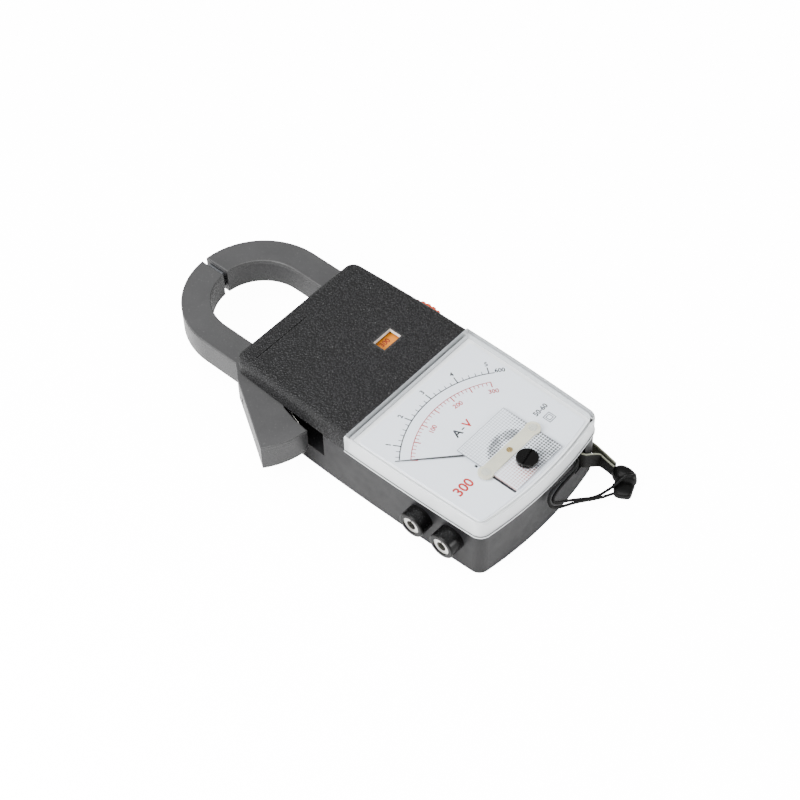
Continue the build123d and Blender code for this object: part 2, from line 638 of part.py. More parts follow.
def movement_magnet():
    """Core magnet with the cross strap that holds it in the yoke."""
    magnet = rod(MOVEMENT, CORE_MAGNET_R, *MAGNET_Z)
    half_strap = 1.5
    reach = sqrt(YOKE_R[0] ** 2 - half_strap ** 2) - 0.01
    strap = around_movement(Pos(0, 0, 14.5) * Box(2 * reach, 2 * half_strap, 3.0))
    return magnet + strap


def turned_to_needle(solid):
    return around_movement(Rot(0, 0, NEEDLE_REST_DEG) * solid)


def moving_coil():
    """Copper winding on its former, round the core magnet."""
    coil = block(-9.7, 9.7, -1.1, 1.1, *COIL_Z) - block(-8.4, 8.4, -2, 2, COIL_Z[0] + 1.2, COIL_Z[1] - 1.2)
    return turned_to_needle(coil)


def coil_spindle():
    """Upper and lower pivots of the coil."""
    upper = rod(MOVEMENT, 0.8, COIL_Z[1], NEEDLE_Z[0]) + rod(MOVEMENT, 0.3, NEEDLE_Z[0], BRIDGE_Z[0] + 0.1)
    lower = rod(MOVEMENT, 0.3, FRAME_TOP_Z - 0.4, COIL_Z[0])
    return bundle((upper, lower))


NEEDLE_LENGTH = 41.6


def needle():
    """Tapered needle with its hub and balance arms."""
    half_root, half_tip = 0.55, 0.12
    blade = make_face(Polyline((0, -half_root), (NEEDLE_LENGTH, -half_tip), (NEEDLE_LENGTH, half_tip),
                               (0, half_root), close=True))
    face = blade + Circle(1.9) + Pos(-3.2, 0) * Rectangle(5.0, 0.7) + Rectangle(0.7, 9.0)
    flat = Pos(0, 0, NEEDLE_Z[0]) * extrude(face, NEEDLE_Z[1] - NEEDLE_Z[0])
    flat -= rod((0, 0), 0.31, 0, FAR)
    return turned_to_needle(flat)


def half_turns(count, start_r, pitch, thickness, z0, height):
    """Flat spiral built from half rings whose centres alternate."""
    spiral = None
    for k in range(count):
        radius = start_r + k * pitch / 2
        half = Circle(radius + thickness / 2) - Circle(radius - thickness / 2)
        side = 1 if k % 2 == 0 else -1
        half &= Pos(0, side * FAR / 2) * Rectangle(2 * FAR, FAR)
        half = Pos(0 if k % 2 == 0 else -pitch / 2, 0) * half
        spiral = half if spiral is None else spiral + half
    return Pos(0, 0, z0) * extrude(spiral, height)


def hairspring():
    """Flat control spring between the coil and the zero lever."""
    return around_movement(half_turns(8, 1.5, 0.9, 0.2, 22.4, 0.5))


def upper_bridge():
    """Pale nylon bridge over the dial, with round ends."""
    span = 2 * BRIDGE_POST_X
    face = Rectangle(span, 5.0)
    for side in (-1, 1):
        face += Pos(side * BRIDGE_POST_X, 0) * Circle(3.0)
    bridge = around_movement(Pos(0, 0, BRIDGE_Z[0]) * extrude(face, BRIDGE_Z[1] - BRIDGE_Z[0]))
    return bridge - rod(MOVEMENT, 1.2, 0, FAR)


def jewel_screws():
    """Jewel screws in the two bridges."""
    upper = rod(MOVEMENT, 1.2, BRIDGE_Z[0], BRIDGE_Z[1] + 0.1) - rod(MOVEMENT, 0.36, 0, BRIDGE_Z[0] + 0.2)
    lower = rod(MOVEMENT, 1.2, FRAME_LOW_Z - 0.6, FRAME_TOP_Z) - rod(MOVEMENT, 0.36, FRAME_TOP_Z - 0.6, FAR)
    return bundle((upper, lower))


def bridge_screws():
    """Two flat screws that hold the upper bridge."""
    screws = []
    for side in (-1, 1):
        place = (MOVEMENT_X + side * BRIDGE_POST_X, MOVEMENT_Y)
        screws.append(rod(place, 1.7, BRIDGE_Z[1], BRIDGE_Z[1] + 0.15))
    return bundle(screws)


def zero_adjuster():
    """Slotted black knob in the lens, with an eccentric pin below."""
    centre = (MOVEMENT_X, ADJUSTER_Y)
    knob = rod(centre, ADJUSTER_HEAD_R, BODY_HEIGHT + 0.05, ADJUSTER_TOP_Z)
    knob = fillet(flat_edges(knob, ADJUSTER_TOP_Z), 0.4)
    knob += rod(centre, ADJUSTER_SHANK_R, LENS_INNER_Z - 0.4, BODY_HEIGHT + 0.05)
    knob += rod((MOVEMENT_X, ADJUSTER_Y + ADJUSTER_ECCENTRIC), 0.5, LEVER_Z[0] - 0.3, LENS_INNER_Z - 0.4)
    slot_place = Pos(centre[0], centre[1], ADJUSTER_TOP_Z) * Rot(0, 0, 12)
    slot = slot_place * Box(2 * ADJUSTER_HEAD_R - 1.2, 0.9, 1.6)
    return knob - slot


def zero_lever():
    """Forked lever under the dial that carries the hairspring stud."""
    lever = rod(MOVEMENT, 4.6, *LEVER_Z)
    reach = MOVEMENT_Y - (ADJUSTER_Y + ADJUSTER_ECCENTRIC)
    lever += block(MOVEMENT_X - 1.7, MOVEMENT_X + 1.7, MOVEMENT_Y - reach - 1.6, MOVEMENT_Y - 3.5, *LEVER_Z)
    fork_y = MOVEMENT_Y - reach
    lever -= block(MOVEMENT_X - 0.65, MOVEMENT_X + 0.65, fork_y - 3, fork_y + 1.0, 0, FAR)
    lever -= rod(MOVEMENT, COLLAR_R + 0.05, 0, FAR)
    return lever + rod((MOVEMENT_X + 4.0, MOVEMENT_Y), 0.4, LEVER_Z[0] - 1.4, LEVER_Z[0])


# ---------------------------------------------------------------- jacks
def jack_collar(y):
    """Insulating collar through the side wall."""
    seat_x = jack_seat_x(y)
    collar = bar_x(y, JACK_Z, JACK_COLLAR_R, JACK_FACE_X, seat_x)
    collar = fillet(collar.edges().sort_by(Axis.X)[0], 0.6)
    collar += bar_x(y, JACK_Z, JACK_NECK_R, seat_x, -27.5)
    return collar - bar_x(y, JACK_Z, JACK_SOCKET_R, -FAR, 0)


def jack_seat_x(y):
    """Flat seat cut in the side wall for a collar centred at y."""
    half_width = HALF_WIDTH_MID - (HALF_WIDTH_MID - HALF_WIDTH_FOOT) * (y / FOOT_CORNER_Y) ** 2
    return JACK_SEAT_DEPTH - half_width


def jack_socket(y):
    """Slit metal socket for a 4 mm plug."""
    face_x = JACK_FACE_X + 0.4
    socket = bar_x(y, JACK_Z, JACK_SOCKET_R, face_x, face_x + JACK_BORE_LENGTH + 3.0)
    socket -= bar_x(y, JACK_Z, JACK_BORE_R, face_x - 1, face_x + JACK_BORE_LENGTH)
    socket -= block(face_x - 1, face_x + 9.0, y - JACK_SLIT / 2, y + JACK_SLIT / 2, JACK_Z, JACK_Z + 8)
    tail_x = face_x + JACK_BORE_LENGTH + 3.0
    return socket + bar_x(y, JACK_Z, 1.2, tail_x, tail_x + 1.2)


def jack_nuts():
    """Hexagon nuts that clamp the collars to the side wall."""
    nuts = []
    for y in JACK_YS:
        x0 = jack_seat_x(y) + JACK_WALL
        hexagon = Plane(origin=(x0, y, JACK_Z), z_dir=(1, 0, 0)) * extrude(RegularPolygon(5.8, 6), 2.4)
        nuts.append(hexagon - bar_x(y, JACK_Z, JACK_NECK_R, -FAR, 0))
    return bundle(nuts)


# ---------------------------------------------------------------- inner leads
def lead(points, radius, bend):
    """Insulated wire along straight runs joined by round bends."""
    path = FilletPolyline(*points, radius=bend)
    section = Plane(origin=path @ 0, z_dir=path % 0) * Circle(radius)
    return sweep(section, path=path)


LEAD_R = 0.6


def jack_leads():
    """Leads from the sockets to the board."""
    tail = JACK_FACE_X + 0.4 + JACK_BORE_LENGTH + 4.2
    return bundle((
        lead(((tail, JACK_YS[0], JACK_Z), (tail + 3.0, JACK_YS[0], JACK_Z), (-11.4, -26.0, 18.6),
              (-11.4, -23.4, 18.6), (-11.4, -23.4, BOARD_TOP_Z)), LEAD_R, 1.1),
        lead(((tail - 0.6, JACK_YS[1], JACK_Z + 1.2),
              (tail - 0.6, JACK_YS[1], 18.6), (tail - 0.6, -40.0, 18.6),
              (-8.0, -26.0, 18.6), (-8.0, -23.4, 18.6), (-8.0, -23.4, BOARD_TOP_Z)), LEAD_R, 1.1),
    ))


def winding_leads():
    """Leads from the winding to the board."""
    solids = []
    for x in (-4.0, 0.5):
        route = ((x, 43.2, 17.0), (x, 38.4, 17.0), (x, 31.0, 18.8), (x, 31.0, BOARD_TOP_Z))
        solids.append(lead(route, LEAD_R, 1.2))
    return bundle(solids)


def movement_leads():
    """Leads from the movement to the board."""
    solids = []
    for x in (12.2, 14.2):
        solids.append(lead(((x, -38.6, FRAME_TOP_Z), (x, -38.6, 11.0), (x, -30.0, 18.4), (x, -23.6, 18.4),
                            (x, -23.6, BOARD_TOP_Z)), LEAD_R, 1.2))
    return bundle(solids)


# ---------------------------------------------------------------- wrist strap
CLASP_OUTLINE = ((35.2, -72.4), (37.0, -73.6), (37.4, -78.6), (35.6, -81.8), (31.6, -83.4), (27.6, -83.6),
                 (26.8, -79.4), (30.0, -75.0))
CLASP_HEIGHT = 8.0
BAND_LOOP = (
    ((33.6, -72.9, 4.3), (0, 0, 1)),
    ((34.5, -66.6, 4.3), (0, 0, 1)),
    ((33.6, -65.5, 5.2), (0.35, 0, 0.94)),
    ((25.4, -66.2, 13.4), (0.62, 0, 0.78)),
    ((23.0, -65.9, 15.4), (0.2, 0, 0.98)),
    ((22.8, -61.2, 15.4), (0, 0, 1)),
    ((30.4, -56.2, 7.2), (0, 0, 1)),
    ((35.4, -55.9, 6.4), (0, 0, 1)),
    ((37.0, -59.4, 5.4), (0, 0, 1)),
    ((36.9, -64.5, 4.4), (0, 0, 1)),
    ((35.4, -72.2, 4.3), (0, 0, 1)),
)
CORD_ROUTE_A = (
    (20.6, -62.4, 20.0), (19.4, -66.2, 20.2), (15.4, -67.9, 20.9), (9.4, -68.1, 21.4), (4.2, -68.3, 21.5),
    (0.4, -68.4, 20.9), (-1.0, -68.5, 18.9), (-1.2, -68.9, 16.4), (-0.6, -69.9, 14.1), (1.8, -70.9, 12.4),
    (5.4, -71.8, 11.0), (10.6, -73.0, 8.8), (17.3, -75.3, 5.6), (22.4, -77.2, 3.7), (27.4, -79.1, 2.8))
CORD_ROUTE_B = (
    (20.0, -62.6, 17.8), (19.2, -66.4, 18.0), (15.0, -68.0, 18.9), (9.8, -68.5, 19.5), (5.8, -68.5, 19.0),
    (2.9, -68.6, 18.0), (1.1, -68.8, 16.6), (1.1, -69.4, 15.0), (2.9, -70.1, 13.6), (6.6, -70.7, 11.4),
    (11.8, -71.9, 8.2), (18.2, -74.4, 4.6), (23.8, -75.9, 3.4), (28.7, -76.9, 4.0))


def band_station(centre, across, before, after):
    """Cross-section of the band at one station, mitred between two runs."""
    across = Vector(*across).normalized()
    normal = (across.cross(before) + across.cross(after)).normalized()
    half_turn = before.get_angle(after) / 2
    half_t = BAND_THICKNESS / 2 / max(0.5, cos(radians(half_turn)))
    c = Vector(*centre)
    w = across * (BAND_WIDTH / 2)
    t = normal * half_t
    return make_face(Polyline(c - w - t, c + w - t, c + w + t, c - w + t, close=True))


def strap_band():
    """Flat band looped through the two strap slots round the case corner."""
    centres = [Vector(*centre) for centre, _ in BAND_LOOP]
    runs = [(b - a).normalized() for a, b in zip(centres, centres[1:])]
    faces = []
    for k, (centre, across) in enumerate(BAND_LOOP):
        before = runs[max(k - 1, 0)]
        after = runs[min(k, len(runs) - 1)]
        faces.append(band_station(centre, across, before, after))
    return loft(faces, ruled=True)


def strap_clasp():
    """Moulded clasp that joins the band to the thin cord."""
    clasp = prism(CLASP_OUTLINE, 0.2, CLASP_HEIGHT)
    return fillet(clasp.edges().filter_by(Axis.Z), 0.8)


def cord_radii(points):
    """As large an arc at each corner as its two runs allow."""
    places = [Vector(*p) for p in points]
    radii = []
    for a, b, c in zip(places, places[1:], places[2:]):
        turn = (b - a).get_angle(c - b)
        shorter = min((b - a).length, (c - b).length)
        radii.append(0.45 * shorter / tan(radians(turn / 2)))
    return radii


def strap_cord(points):
    """One strand of the thin cord, as straight runs joined by tangent arcs."""
    radii = cord_radii(points)
    path = FilletPolyline(*points, radius=radii)
    section = Plane(origin=path @ 0, z_dir=path % 0) * Circle(CORD_D / 2)
    tube = sweep(section, path=path)
    area = pi * CORD_D ** 2 / 4
    print("cord radii", [round(r, 1) for r in radii], "length", round(path.length, 1),
          "volume ratio", round(tube.volume / (path.length * area), 4))
    return tube


# ---------------------------------------------------------------- build and write
BLACK = (0.08, 0.08, 0.09)
DARK = (0.2, 0.2, 0.22)
CLEAR = (0.85, 0.9, 0.92)
STEEL = (0.7, 0.72, 0.74)
COPPER = (0.72, 0.4, 0.2)
BRASS = (0.8, 0.65, 0.3)
ORANGE = (0.85, 0.3, 0.12)
CREAM = (0.9, 0.88, 0.7)


def build():
    """Make every node."""
    node("back_case", back_case(), BLACK)
    node("back_label", back_label(), STEEL)
    node("top_cover", top_cover(), DARK)
    node("meter_lens", meter_lens(), CLEAR)
    node("range_window", range_window(), CLEAR)
    node("case_screws", case_screws(), STEEL)
    node("moving_jaw_shell", moving_jaw_shell(), DARK)
    node("moving_jaw_lid", moving_jaw_lid(), DARK)
    node("moving_core", moving_core(), STEEL)
    node("fixed_jaw_shell", fixed_jaw_shell(), DARK)
    node("fixed_jaw_lid", fixed_jaw_lid(), DARK)
    node("fixed_core", fixed_core(), STEEL)
    node("coil_bobbin", coil_bobbin(), CREAM)
    node("secondary_winding", secondary_winding(), COPPER)
    node("pivot_pin", pivot_pin(), STEEL)
    node("pivot_bush", pivot_bush(), BRASS)
    node("jaw_spring", jaw_spring(), STEEL)
    node("range_wheel", range_wheel(), ORANGE)
    node("range_axle", range_axle(), STEEL)
    node("range_wiper", range_wiper(), BRASS)
    node("range_contacts", range_contacts(), BRASS)
    node("detent_spring", detent_spring(), STEEL)
    node("circuit_board", circuit_board(), (0.2, 0.45, 0.25))
    node("resistors", resistors(), CREAM)
    node("rectifier_diodes", rectifier_diodes(), ORANGE)
    node("trimmer", trimmer(), (0.2, 0.35, 0.6))
    node("dial_plate", dial_plate(), (0.9, 0.92, 0.95))
    node("dial_surround", dial_surround(), CREAM)
    node("movement_screen", movement_screen(), CREAM)
    node("dial_brackets", dial_brackets(), BRASS)
    node("movement_frame", movement_frame(), STEEL)
    node("movement_yoke", movement_yoke(), STEEL)
    node("movement_magnet", movement_magnet(), DARK)
    node("moving_coil", moving_coil(), COPPER)
    node("coil_spindle", coil_spindle(), STEEL)
    node("needle", needle(), BLACK)
    node("hairspring", hairspring(), BRASS)
    node("upper_bridge", upper_bridge(), CREAM)
    node("jewel_screws", jewel_screws(), BRASS)
    node("bridge_screws", bridge_screws(), BRASS)
    node("zero_adjuster", zero_adjuster(), BLACK)
    node("zero_lever", zero_lever(), BRASS)
    for number, y in enumerate(JACK_YS, start=1):
        node(f"jack_collar_{number}", jack_collar(y), BLACK)
        node(f"jack_socket_{number}", jack_socket(y), STEEL)
    node("jack_nuts", jack_nuts(), STEEL)
    node("jack_leads", jack_leads(), (0.7, 0.1, 0.1))
    node("winding_leads", winding_leads(), (0.7, 0.6, 0.1))
    node("movement_leads", movement_leads(), (0.1, 0.2, 0.7))
    node("strap_band", strap_band(), BLACK)
    node("strap_clasp", strap_clasp(), BLACK)
    node("strap_cord_a", strap_cord(CORD_ROUTE_A), BLACK)
    node("strap_cord_b", strap_cord(CORD_ROUTE_B), BLACK)


build()
os.makedirs("parts", exist_ok=True)
for name, solid in NODES.items():
    export_step(solid, f"parts/{name}.step")
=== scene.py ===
"""Finishes, dial print, range labels, spring, strap and stage for an analogue clamp meter."""
from functools import cache
from math import cos, pi, radians, sin, tau

import bmesh
import bpy
from bpy.props import FloatProperty, FloatVectorProperty, IntProperty, PointerProperty
from mathutils import Matrix, Quaternion, Vector


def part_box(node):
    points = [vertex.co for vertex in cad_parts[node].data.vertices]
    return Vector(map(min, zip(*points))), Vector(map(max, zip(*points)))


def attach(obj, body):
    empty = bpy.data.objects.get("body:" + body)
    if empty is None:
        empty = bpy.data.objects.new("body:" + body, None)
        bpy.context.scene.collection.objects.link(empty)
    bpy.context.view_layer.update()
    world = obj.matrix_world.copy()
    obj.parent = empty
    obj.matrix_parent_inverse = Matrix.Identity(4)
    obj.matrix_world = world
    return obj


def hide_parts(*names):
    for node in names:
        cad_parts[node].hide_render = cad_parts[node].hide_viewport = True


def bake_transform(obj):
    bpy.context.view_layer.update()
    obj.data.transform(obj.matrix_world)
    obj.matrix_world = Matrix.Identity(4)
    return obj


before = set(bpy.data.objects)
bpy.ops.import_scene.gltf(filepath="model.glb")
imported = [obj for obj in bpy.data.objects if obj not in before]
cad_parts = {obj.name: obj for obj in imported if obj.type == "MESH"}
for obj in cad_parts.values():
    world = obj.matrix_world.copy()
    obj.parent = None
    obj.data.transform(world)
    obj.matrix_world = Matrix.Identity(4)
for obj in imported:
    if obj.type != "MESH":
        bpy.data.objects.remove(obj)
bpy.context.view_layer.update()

bl_info = {
    "name": "Clamp Meter Looks",
    "version": (1, 0, 0),
    "blender": (4, 5, 0),
    "location": "3D View > Sidebar > Clamp Meter",
    "description": "Dresses the packed clamp meter with its finishes, print, strap and stage",
    "category": "Object",
}

MM = 0.001


# ---------------------------------------------------------------- settings
def colour(name, description, default):
    """A colour that the user may change."""
    return FloatVectorProperty(name=name, description=description, subtype="COLOR", size=4,
                               min=0, max=1, default=(*default, 1.0))


def length(name, description, default_mm):
    """A length that the user may change, with its default in millimetres."""
    return FloatProperty(name=name, description=description, default=default_mm * MM, unit="LENGTH",
                         precision=5)


class ShellSettings(bpy.types.PropertyGroup):
    """Moulded case, cover and jaws."""
    case_colour: colour("Case", "Satin black of the back case", (0.011, 0.011, 0.012))
    cover_colour: colour("Cover", "Near black of the grained cover", (0.011, 0.011, 0.012))
    jaw_colour: colour("Jaws", "Grey of the jaws and trigger", (0.052, 0.052, 0.053))
    pebble_size: length("Pebble size", "Size of one pebble of the cover's grain", 0.75)
    pebble_depth: length("Pebble depth", "Depth of the cover's grain", 0.30)


class DialSettings(bpy.types.PropertyGroup):
    """Printed dial."""
    plate_colour: colour("Plate", "Cool white of the dial", (0.86, 0.89, 0.94))
    black_ink: colour("Black ink", "Ink of the outer scale", (0.004, 0.005, 0.007))
    red_ink: colour("Red ink", "Ink of the inner scale", (0.42, 0.008, 0.006))
    outer_radius: length("Outer scale", "Radius of the black scale line", 42.5)
    inner_radius: length("Inner scale", "Radius of the red scale line", 38.3)
    dot_pitch: length("Dot pitch", "Spacing of the dots on the movement screen", 1.12)


class RangeSettings(bpy.types.PropertyGroup):
    """Range wheel and its window."""
    wheel_colour: colour("Wheel", "Orange-red of the thumbwheel", (0.70, 0.09, 0.03))
    label_colour: colour("Label", "Amber of the range labels", (0.66, 0.21, 0.002))
    digit_height: length("Digit height", "Height of the range numbers", 2.3)
    steps: IntProperty(name="Steps", description="Positions of the range wheel", default=10, min=2)


class StrapSettings(bpy.types.PropertyGroup):
    """Wrist strap."""
    # Black painted on the near half of the band as shade; the far half keeps the band's own olive.
    near_half_painted_shade_colour: colour("Webbing", "Black of the band", (0.006, 0.006, 0.005))
    edge_colour: colour("Edge threads", "Pale threads along the band's edges", (0.30, 0.31, 0.24))
    cord_colour: colour("Cord", "Black of the thin cord", (0.004, 0.004, 0.004))
    band_width: length("Band width", "Width of the flat band", 6.2)
    band_thickness: length("Band thickness", "Thickness of the flat band", 0.8)
    cord_diameter: length("Cord diameter", "Diameter of the thin cord", 1.25)


class StageSettings(bpy.types.PropertyGroup):
    """Camera, lamps and floor."""
    azimuth: FloatProperty(name="Azimuth", description="Camera's heading round the object",
                           default=radians(-47.521), subtype="ANGLE")
    elevation: FloatProperty(name="Elevation", description="Camera's height above the horizon",
                             default=radians(50.427), subtype="ANGLE")
    roll: FloatProperty(name="Roll", description="Camera's turn about its own axis",
                        default=radians(-1.45), subtype="ANGLE")
    distance: length("Distance", "Camera's distance from its target", 723.18)
    focal: FloatProperty(name="Focal length", description="Camera's focal length", default=85.757,
                         unit="CAMERA")
    floor_colour: colour("Floor", "Pale floor", (0.90, 0.90, 0.90))


SETTINGS = {
    "clamp_meter_shell": ShellSettings,
    "clamp_meter_dial": DialSettings,
    "clamp_meter_range": RangeSettings,
    "clamp_meter_strap": StrapSettings,
    "clamp_meter_stage": StageSettings,
}


# ---------------------------------------------------------------- shader tools
def tree_of(*values):
    """The tree of the first socket among these values."""
    return next(value.id_data for value in values if isinstance(value, bpy.types.NodeSocket))


def feed(socket, value):
    """Join a socket to another one, or set it to a plain value."""
    if isinstance(value, bpy.types.NodeSocket):
        socket.id_data.links.new(value, socket)
    elif value is not None:
        socket.default_value = value


def calc(operation, first, second=None, third=None):
    """One Math node."""
    node = tree_of(first, second, third).nodes.new("ShaderNodeMath")
    node.operation = operation
    for socket, value in zip(node.inputs, (first, second, third)):
        feed(socket, value)
    return node.outputs[0]


def times(first, second):
    """The product of two values."""
    return calc("MULTIPLY", first, second)


def minus(first, second):
    """The difference of two values."""
    return calc("SUBTRACT", first, second)


def spread(value, low, high, to_low=0.0, to_high=1.0):
    """A value mapped from one range to another, held at its ends."""
    node = tree_of(value).nodes.new("ShaderNodeMapRange")
    for socket, number in zip(node.inputs, (value, low, high, to_low, to_high)):
        feed(socket, number)
    return node.outputs[0]


def blend_colours(factor, first, second):
    """Two colours mixed by a factor."""
    node = tree_of(factor).nodes.new("ShaderNodeMix")
    node.data_type = "RGBA"
    feed(node.inputs[0], factor)
    feed(node.inputs[6], first)
    feed(node.inputs[7], second)
    return node.outputs[2]


def here(tree, kind="Object"):
    """Texture coordinates."""
    return tree.nodes.new("ShaderNodeTexCoord").outputs[kind]


def axes(vector):
    """The three parts of a vector."""
    node = tree_of(vector).nodes.new("ShaderNodeSeparateXYZ")
    feed(node.inputs[0], vector)
    return node.outputs


def noise(vector, scale, detail=3.0, rough=0.6):
    """Noise value."""
    node = tree_of(vector).nodes.new("ShaderNodeTexNoise")
    feed(node.inputs["Vector"], vector)
    feed(node.inputs["Scale"], scale)
    feed(node.inputs["Detail"], detail)
    feed(node.inputs["Roughness"], rough)
    return node.outputs["Fac"]


def new_group(name, inputs, outputs):
    """An empty shader group with its sockets, and its inner ends."""
    group = bpy.data.node_groups.new(name, "ShaderNodeTree")
    for label, kind, default in inputs:
        socket = group.interface.new_socket(label, in_out="INPUT", socket_type=kind)
        socket.default_value = default
    for label, kind in outputs:
        group.interface.new_socket(label, in_out="OUTPUT", socket_type=kind)
    return group, group.nodes.new("NodeGroupInput").outputs, group.nodes.new("NodeGroupOutput").inputs


def place_group(tree, name, **values):
    """A group used in a material, with this material's values."""
    node = tree.nodes.new("ShaderNodeGroup")
    node.node_tree = bpy.data.node_groups.get(name) or GROUP_MAKERS[name]()
    for label, value in values.items():
        feed(node.inputs[label.replace("_", " ")], value)
    return node.outputs


NUMBER = "NodeSocketFloat"
TINT = "NodeSocketColor"


def make_fine_grain():
    """Even moulded or cast texture."""
    group, given, made = new_group("Fine Grain", [("Scale", NUMBER, 2500.0)],
                                   [("Height", NUMBER), ("Mask", NUMBER)])
    place = here(group)
    fine = noise(place, given["Scale"], 4.0, 0.65)
    coarse = noise(place, times(given["Scale"], 0.07), 2.0, 0.5)
    feed(made["Height"], fine)
    feed(made["Mask"], spread(calc("ADD", fine, coarse), 0.7, 1.3))
    return group


def make_two_tone():
    """Slow, cloudy change between two colours."""
    group, given, made = new_group(
        "Two Tone", [("First", TINT, (0, 0, 0, 1)), ("Second", TINT, (1, 1, 1, 1)),
                     ("Scale", NUMBER, 60.0)],
        [("Colour", TINT)])
    cloud = spread(noise(here(group), given["Scale"], 5.0, 0.6), 0.35, 0.65)
    feed(made["Colour"], blend_colours(cloud, given["First"], given["Second"]))
    return group


def make_edge_wear():
    """Where handling rubs an edge bright."""
    group, given, made = new_group(
        "Edge Wear", [("Width", NUMBER, 0.0004), ("Strength", NUMBER, 1.0)], [("Mask", NUMBER)])
    rounded = group.nodes.new("ShaderNodeBevel")
    rounded.samples = 4
    feed(rounded.inputs["Radius"], given["Width"])
    flat = group.nodes.new("ShaderNodeNewGeometry")
    facing = group.nodes.new("ShaderNodeVectorMath")
    facing.operation = "DOT_PRODUCT"
    feed(facing.inputs[0], rounded.outputs[0])
    feed(facing.inputs[1], flat.outputs["True Normal"])
    edge = spread(facing.outputs["Value"], 0.99, 0.80)
    broken = spread(noise(here(group), 900.0, 4.0, 0.7), 0.30, 0.62)
    feed(made["Mask"], times(times(edge, broken), given["Strength"]))
    return group


def make_dust():
    """Pale specks that settle on faces that look up."""
    group, given, made = new_group("Dust", [("Amount", NUMBER, 0.3)], [("Mask", NUMBER)])
    up = spread(axes(group.nodes.new("ShaderNodeNewGeometry").outputs["Normal"])[2], 0.5, 1.0)
    specks = spread(noise(here(group), 1400.0, 2.0, 0.5), 0.66, 0.74)
    feed(made["Mask"], times(times(up, specks), given["Amount"]))
    return group


def make_turned_lines():
    """Fine tool marks, as rings round an axis or layers across it."""
    group, given, made = new_group(
        "Turned Lines", [("Vector", "NodeSocketVector", (0, 0, 0)),
                         ("Scale", NUMBER, 2000.0)], [("Height", NUMBER)])
    wave = group.nodes.new("ShaderNodeTexWave")
    wave.bands_direction = "Z"
    feed(wave.inputs["Vector"], given["Vector"])
    feed(wave.inputs["Scale"], given["Scale"])
    feed(wave.inputs["Distortion"], 1.5)
    feed(wave.inputs["Detail"], 2.0)
    feed(made["Height"], wave.outputs["Fac"])
    return group


def make_weave():
    """Warp and weft threads laid over a UV map."""
    group, given, made = new_group(
        "Weave", [("Along", NUMBER, 100.0), ("Across", NUMBER, 10.0)], [("Height", NUMBER),
                                                                        ("Mask", NUMBER)])
    u, v, _ = axes(here(group, "UV"))
    warp = calc("SINE", times(u, times(given["Along"], tau)))
    weft = calc("SINE", times(v, times(given["Across"], tau)))
    crossing = times(warp, weft)
    feed(made["Height"], spread(crossing, -1.0, 1.0))
    feed(made["Mask"], spread(calc("ABSOLUTE", crossing), 0.0, 0.7))
    return group


def make_dot_screen():
    """Square grid of printed dots, and of ruled lines, in the object's own plane."""
    group, given, made = new_group(
        "Dot Screen", [("Pitch", NUMBER, 0.001), ("Size", NUMBER, 0.3)], [("Mask", NUMBER),
                                                                          ("Lines", NUMBER)])
    x, y, _ = axes(here(group))
    steps = []
    for part in (x, y):
        cell = calc("FRACT", calc("DIVIDE", part, given["Pitch"]))
        steps.append(calc("ABSOLUTE", minus(cell, 0.5)))
    reach = calc("MAXIMUM", steps[0], steps[1])
    inside = minus(given["Size"], reach)
    feed(made["Mask"], spread(inside, -0.04, 0.04))
    nearest = calc("MINIMUM", steps[0], steps[1])
    feed(made["Lines"], spread(nearest, 0.13, 0.07))
    return group


GROUP_MAKERS = {
    "Fine Grain": make_fine_grain,
    "Two Tone": make_two_tone,
    "Edge Wear": make_edge_wear,
    "Dust": make_dust,
    "Turned Lines": make_turned_lines,
    "Weave": make_weave,
    "Dot Screen": make_dot_screen,
}


def new_material(name):
    """A material with its tree and its main shader."""
    material = bpy.data.materials.new(name)
    material.use_nodes = True
    tree = material.node_tree
    tree.nodes.clear()
    shader = tree.nodes.new("ShaderNodeBsdfPrincipled")
    out = tree.nodes.new("ShaderNodeOutputMaterial")
    tree.links.new(shader.outputs[0], out.inputs[0])
    return material, tree, shader


def bumped(shader, height, distance, strength=1.0):
    """Raise the surface by a height pattern, in metres."""
    node = shader.id_data.nodes.new("ShaderNodeBump")
    node.inputs["Strength"].default_value = strength
    node.inputs["Distance"].default_value = distance
    feed(node.inputs["Height"], height)
    feed(shader.inputs["Normal"], node.outputs[0])


def shade(tint, factor):
    """The same colour, lighter or darker."""
    return (*(min(1.0, part * factor) for part in tint[:3]), 1.0)


def finish(name, tint, rough, metal=0.0, grain=2500.0, depth=0.01, wear=0.0, wear_tint=None, dust=0.0,
           vary=0.06, tone=0.8, gloss=0.5):
    """A moulded, cast or plated finish: cloudy colour, grain, worn edges and dust."""
    material, tree, shader = new_material(name)
    base = place_group(tree, "Two Tone", First=shade(tint, tone), Second=(*tint[:3], 1.0))["Colour"]
    if wear:
        mask = place_group(tree, "Edge Wear", Strength=wear)["Mask"]
        base = blend_colours(mask, base, wear_tint or shade(tint, 3.0))
    if dust:
        base = blend_colours(place_group(tree, "Dust", Amount=dust)["Mask"], base, (0.45, 0.45, 0.44, 1.0))
    feed(shader.inputs["Base Color"], base)
    pattern = place_group(tree, "Fine Grain", Scale=grain)
    feed(shader.inputs["Roughness"], spread(pattern["Mask"], 0, 1, rough - vary, rough + vary))
    shader.inputs["Metallic"].default_value = metal
    shader.inputs["Specular IOR Level"].default_value = gloss
    bumped(shader, pattern["Height"], depth * MM)
    return material


def plain(name, tint, rough, **extras):
    """A finish that needs no more than its numbers, made the first time it is asked for."""
    return cache(lambda: finish(name, tint, rough, **extras))


def look(name):
    """One group of the user's settings."""
    return getattr(bpy.context.scene, name)


# ---------------------------------------------------------------- finishes
@cache
def satin_case_plastic():
    tint = look("clamp_meter_shell").case_colour
    return finish("satin_case_plastic", tint, 0.42, grain=3200, depth=0.012, wear=0.5,
                  wear_tint=(0.05, 0.05, 0.05, 1),
                  dust=0.06, gloss=0.24)


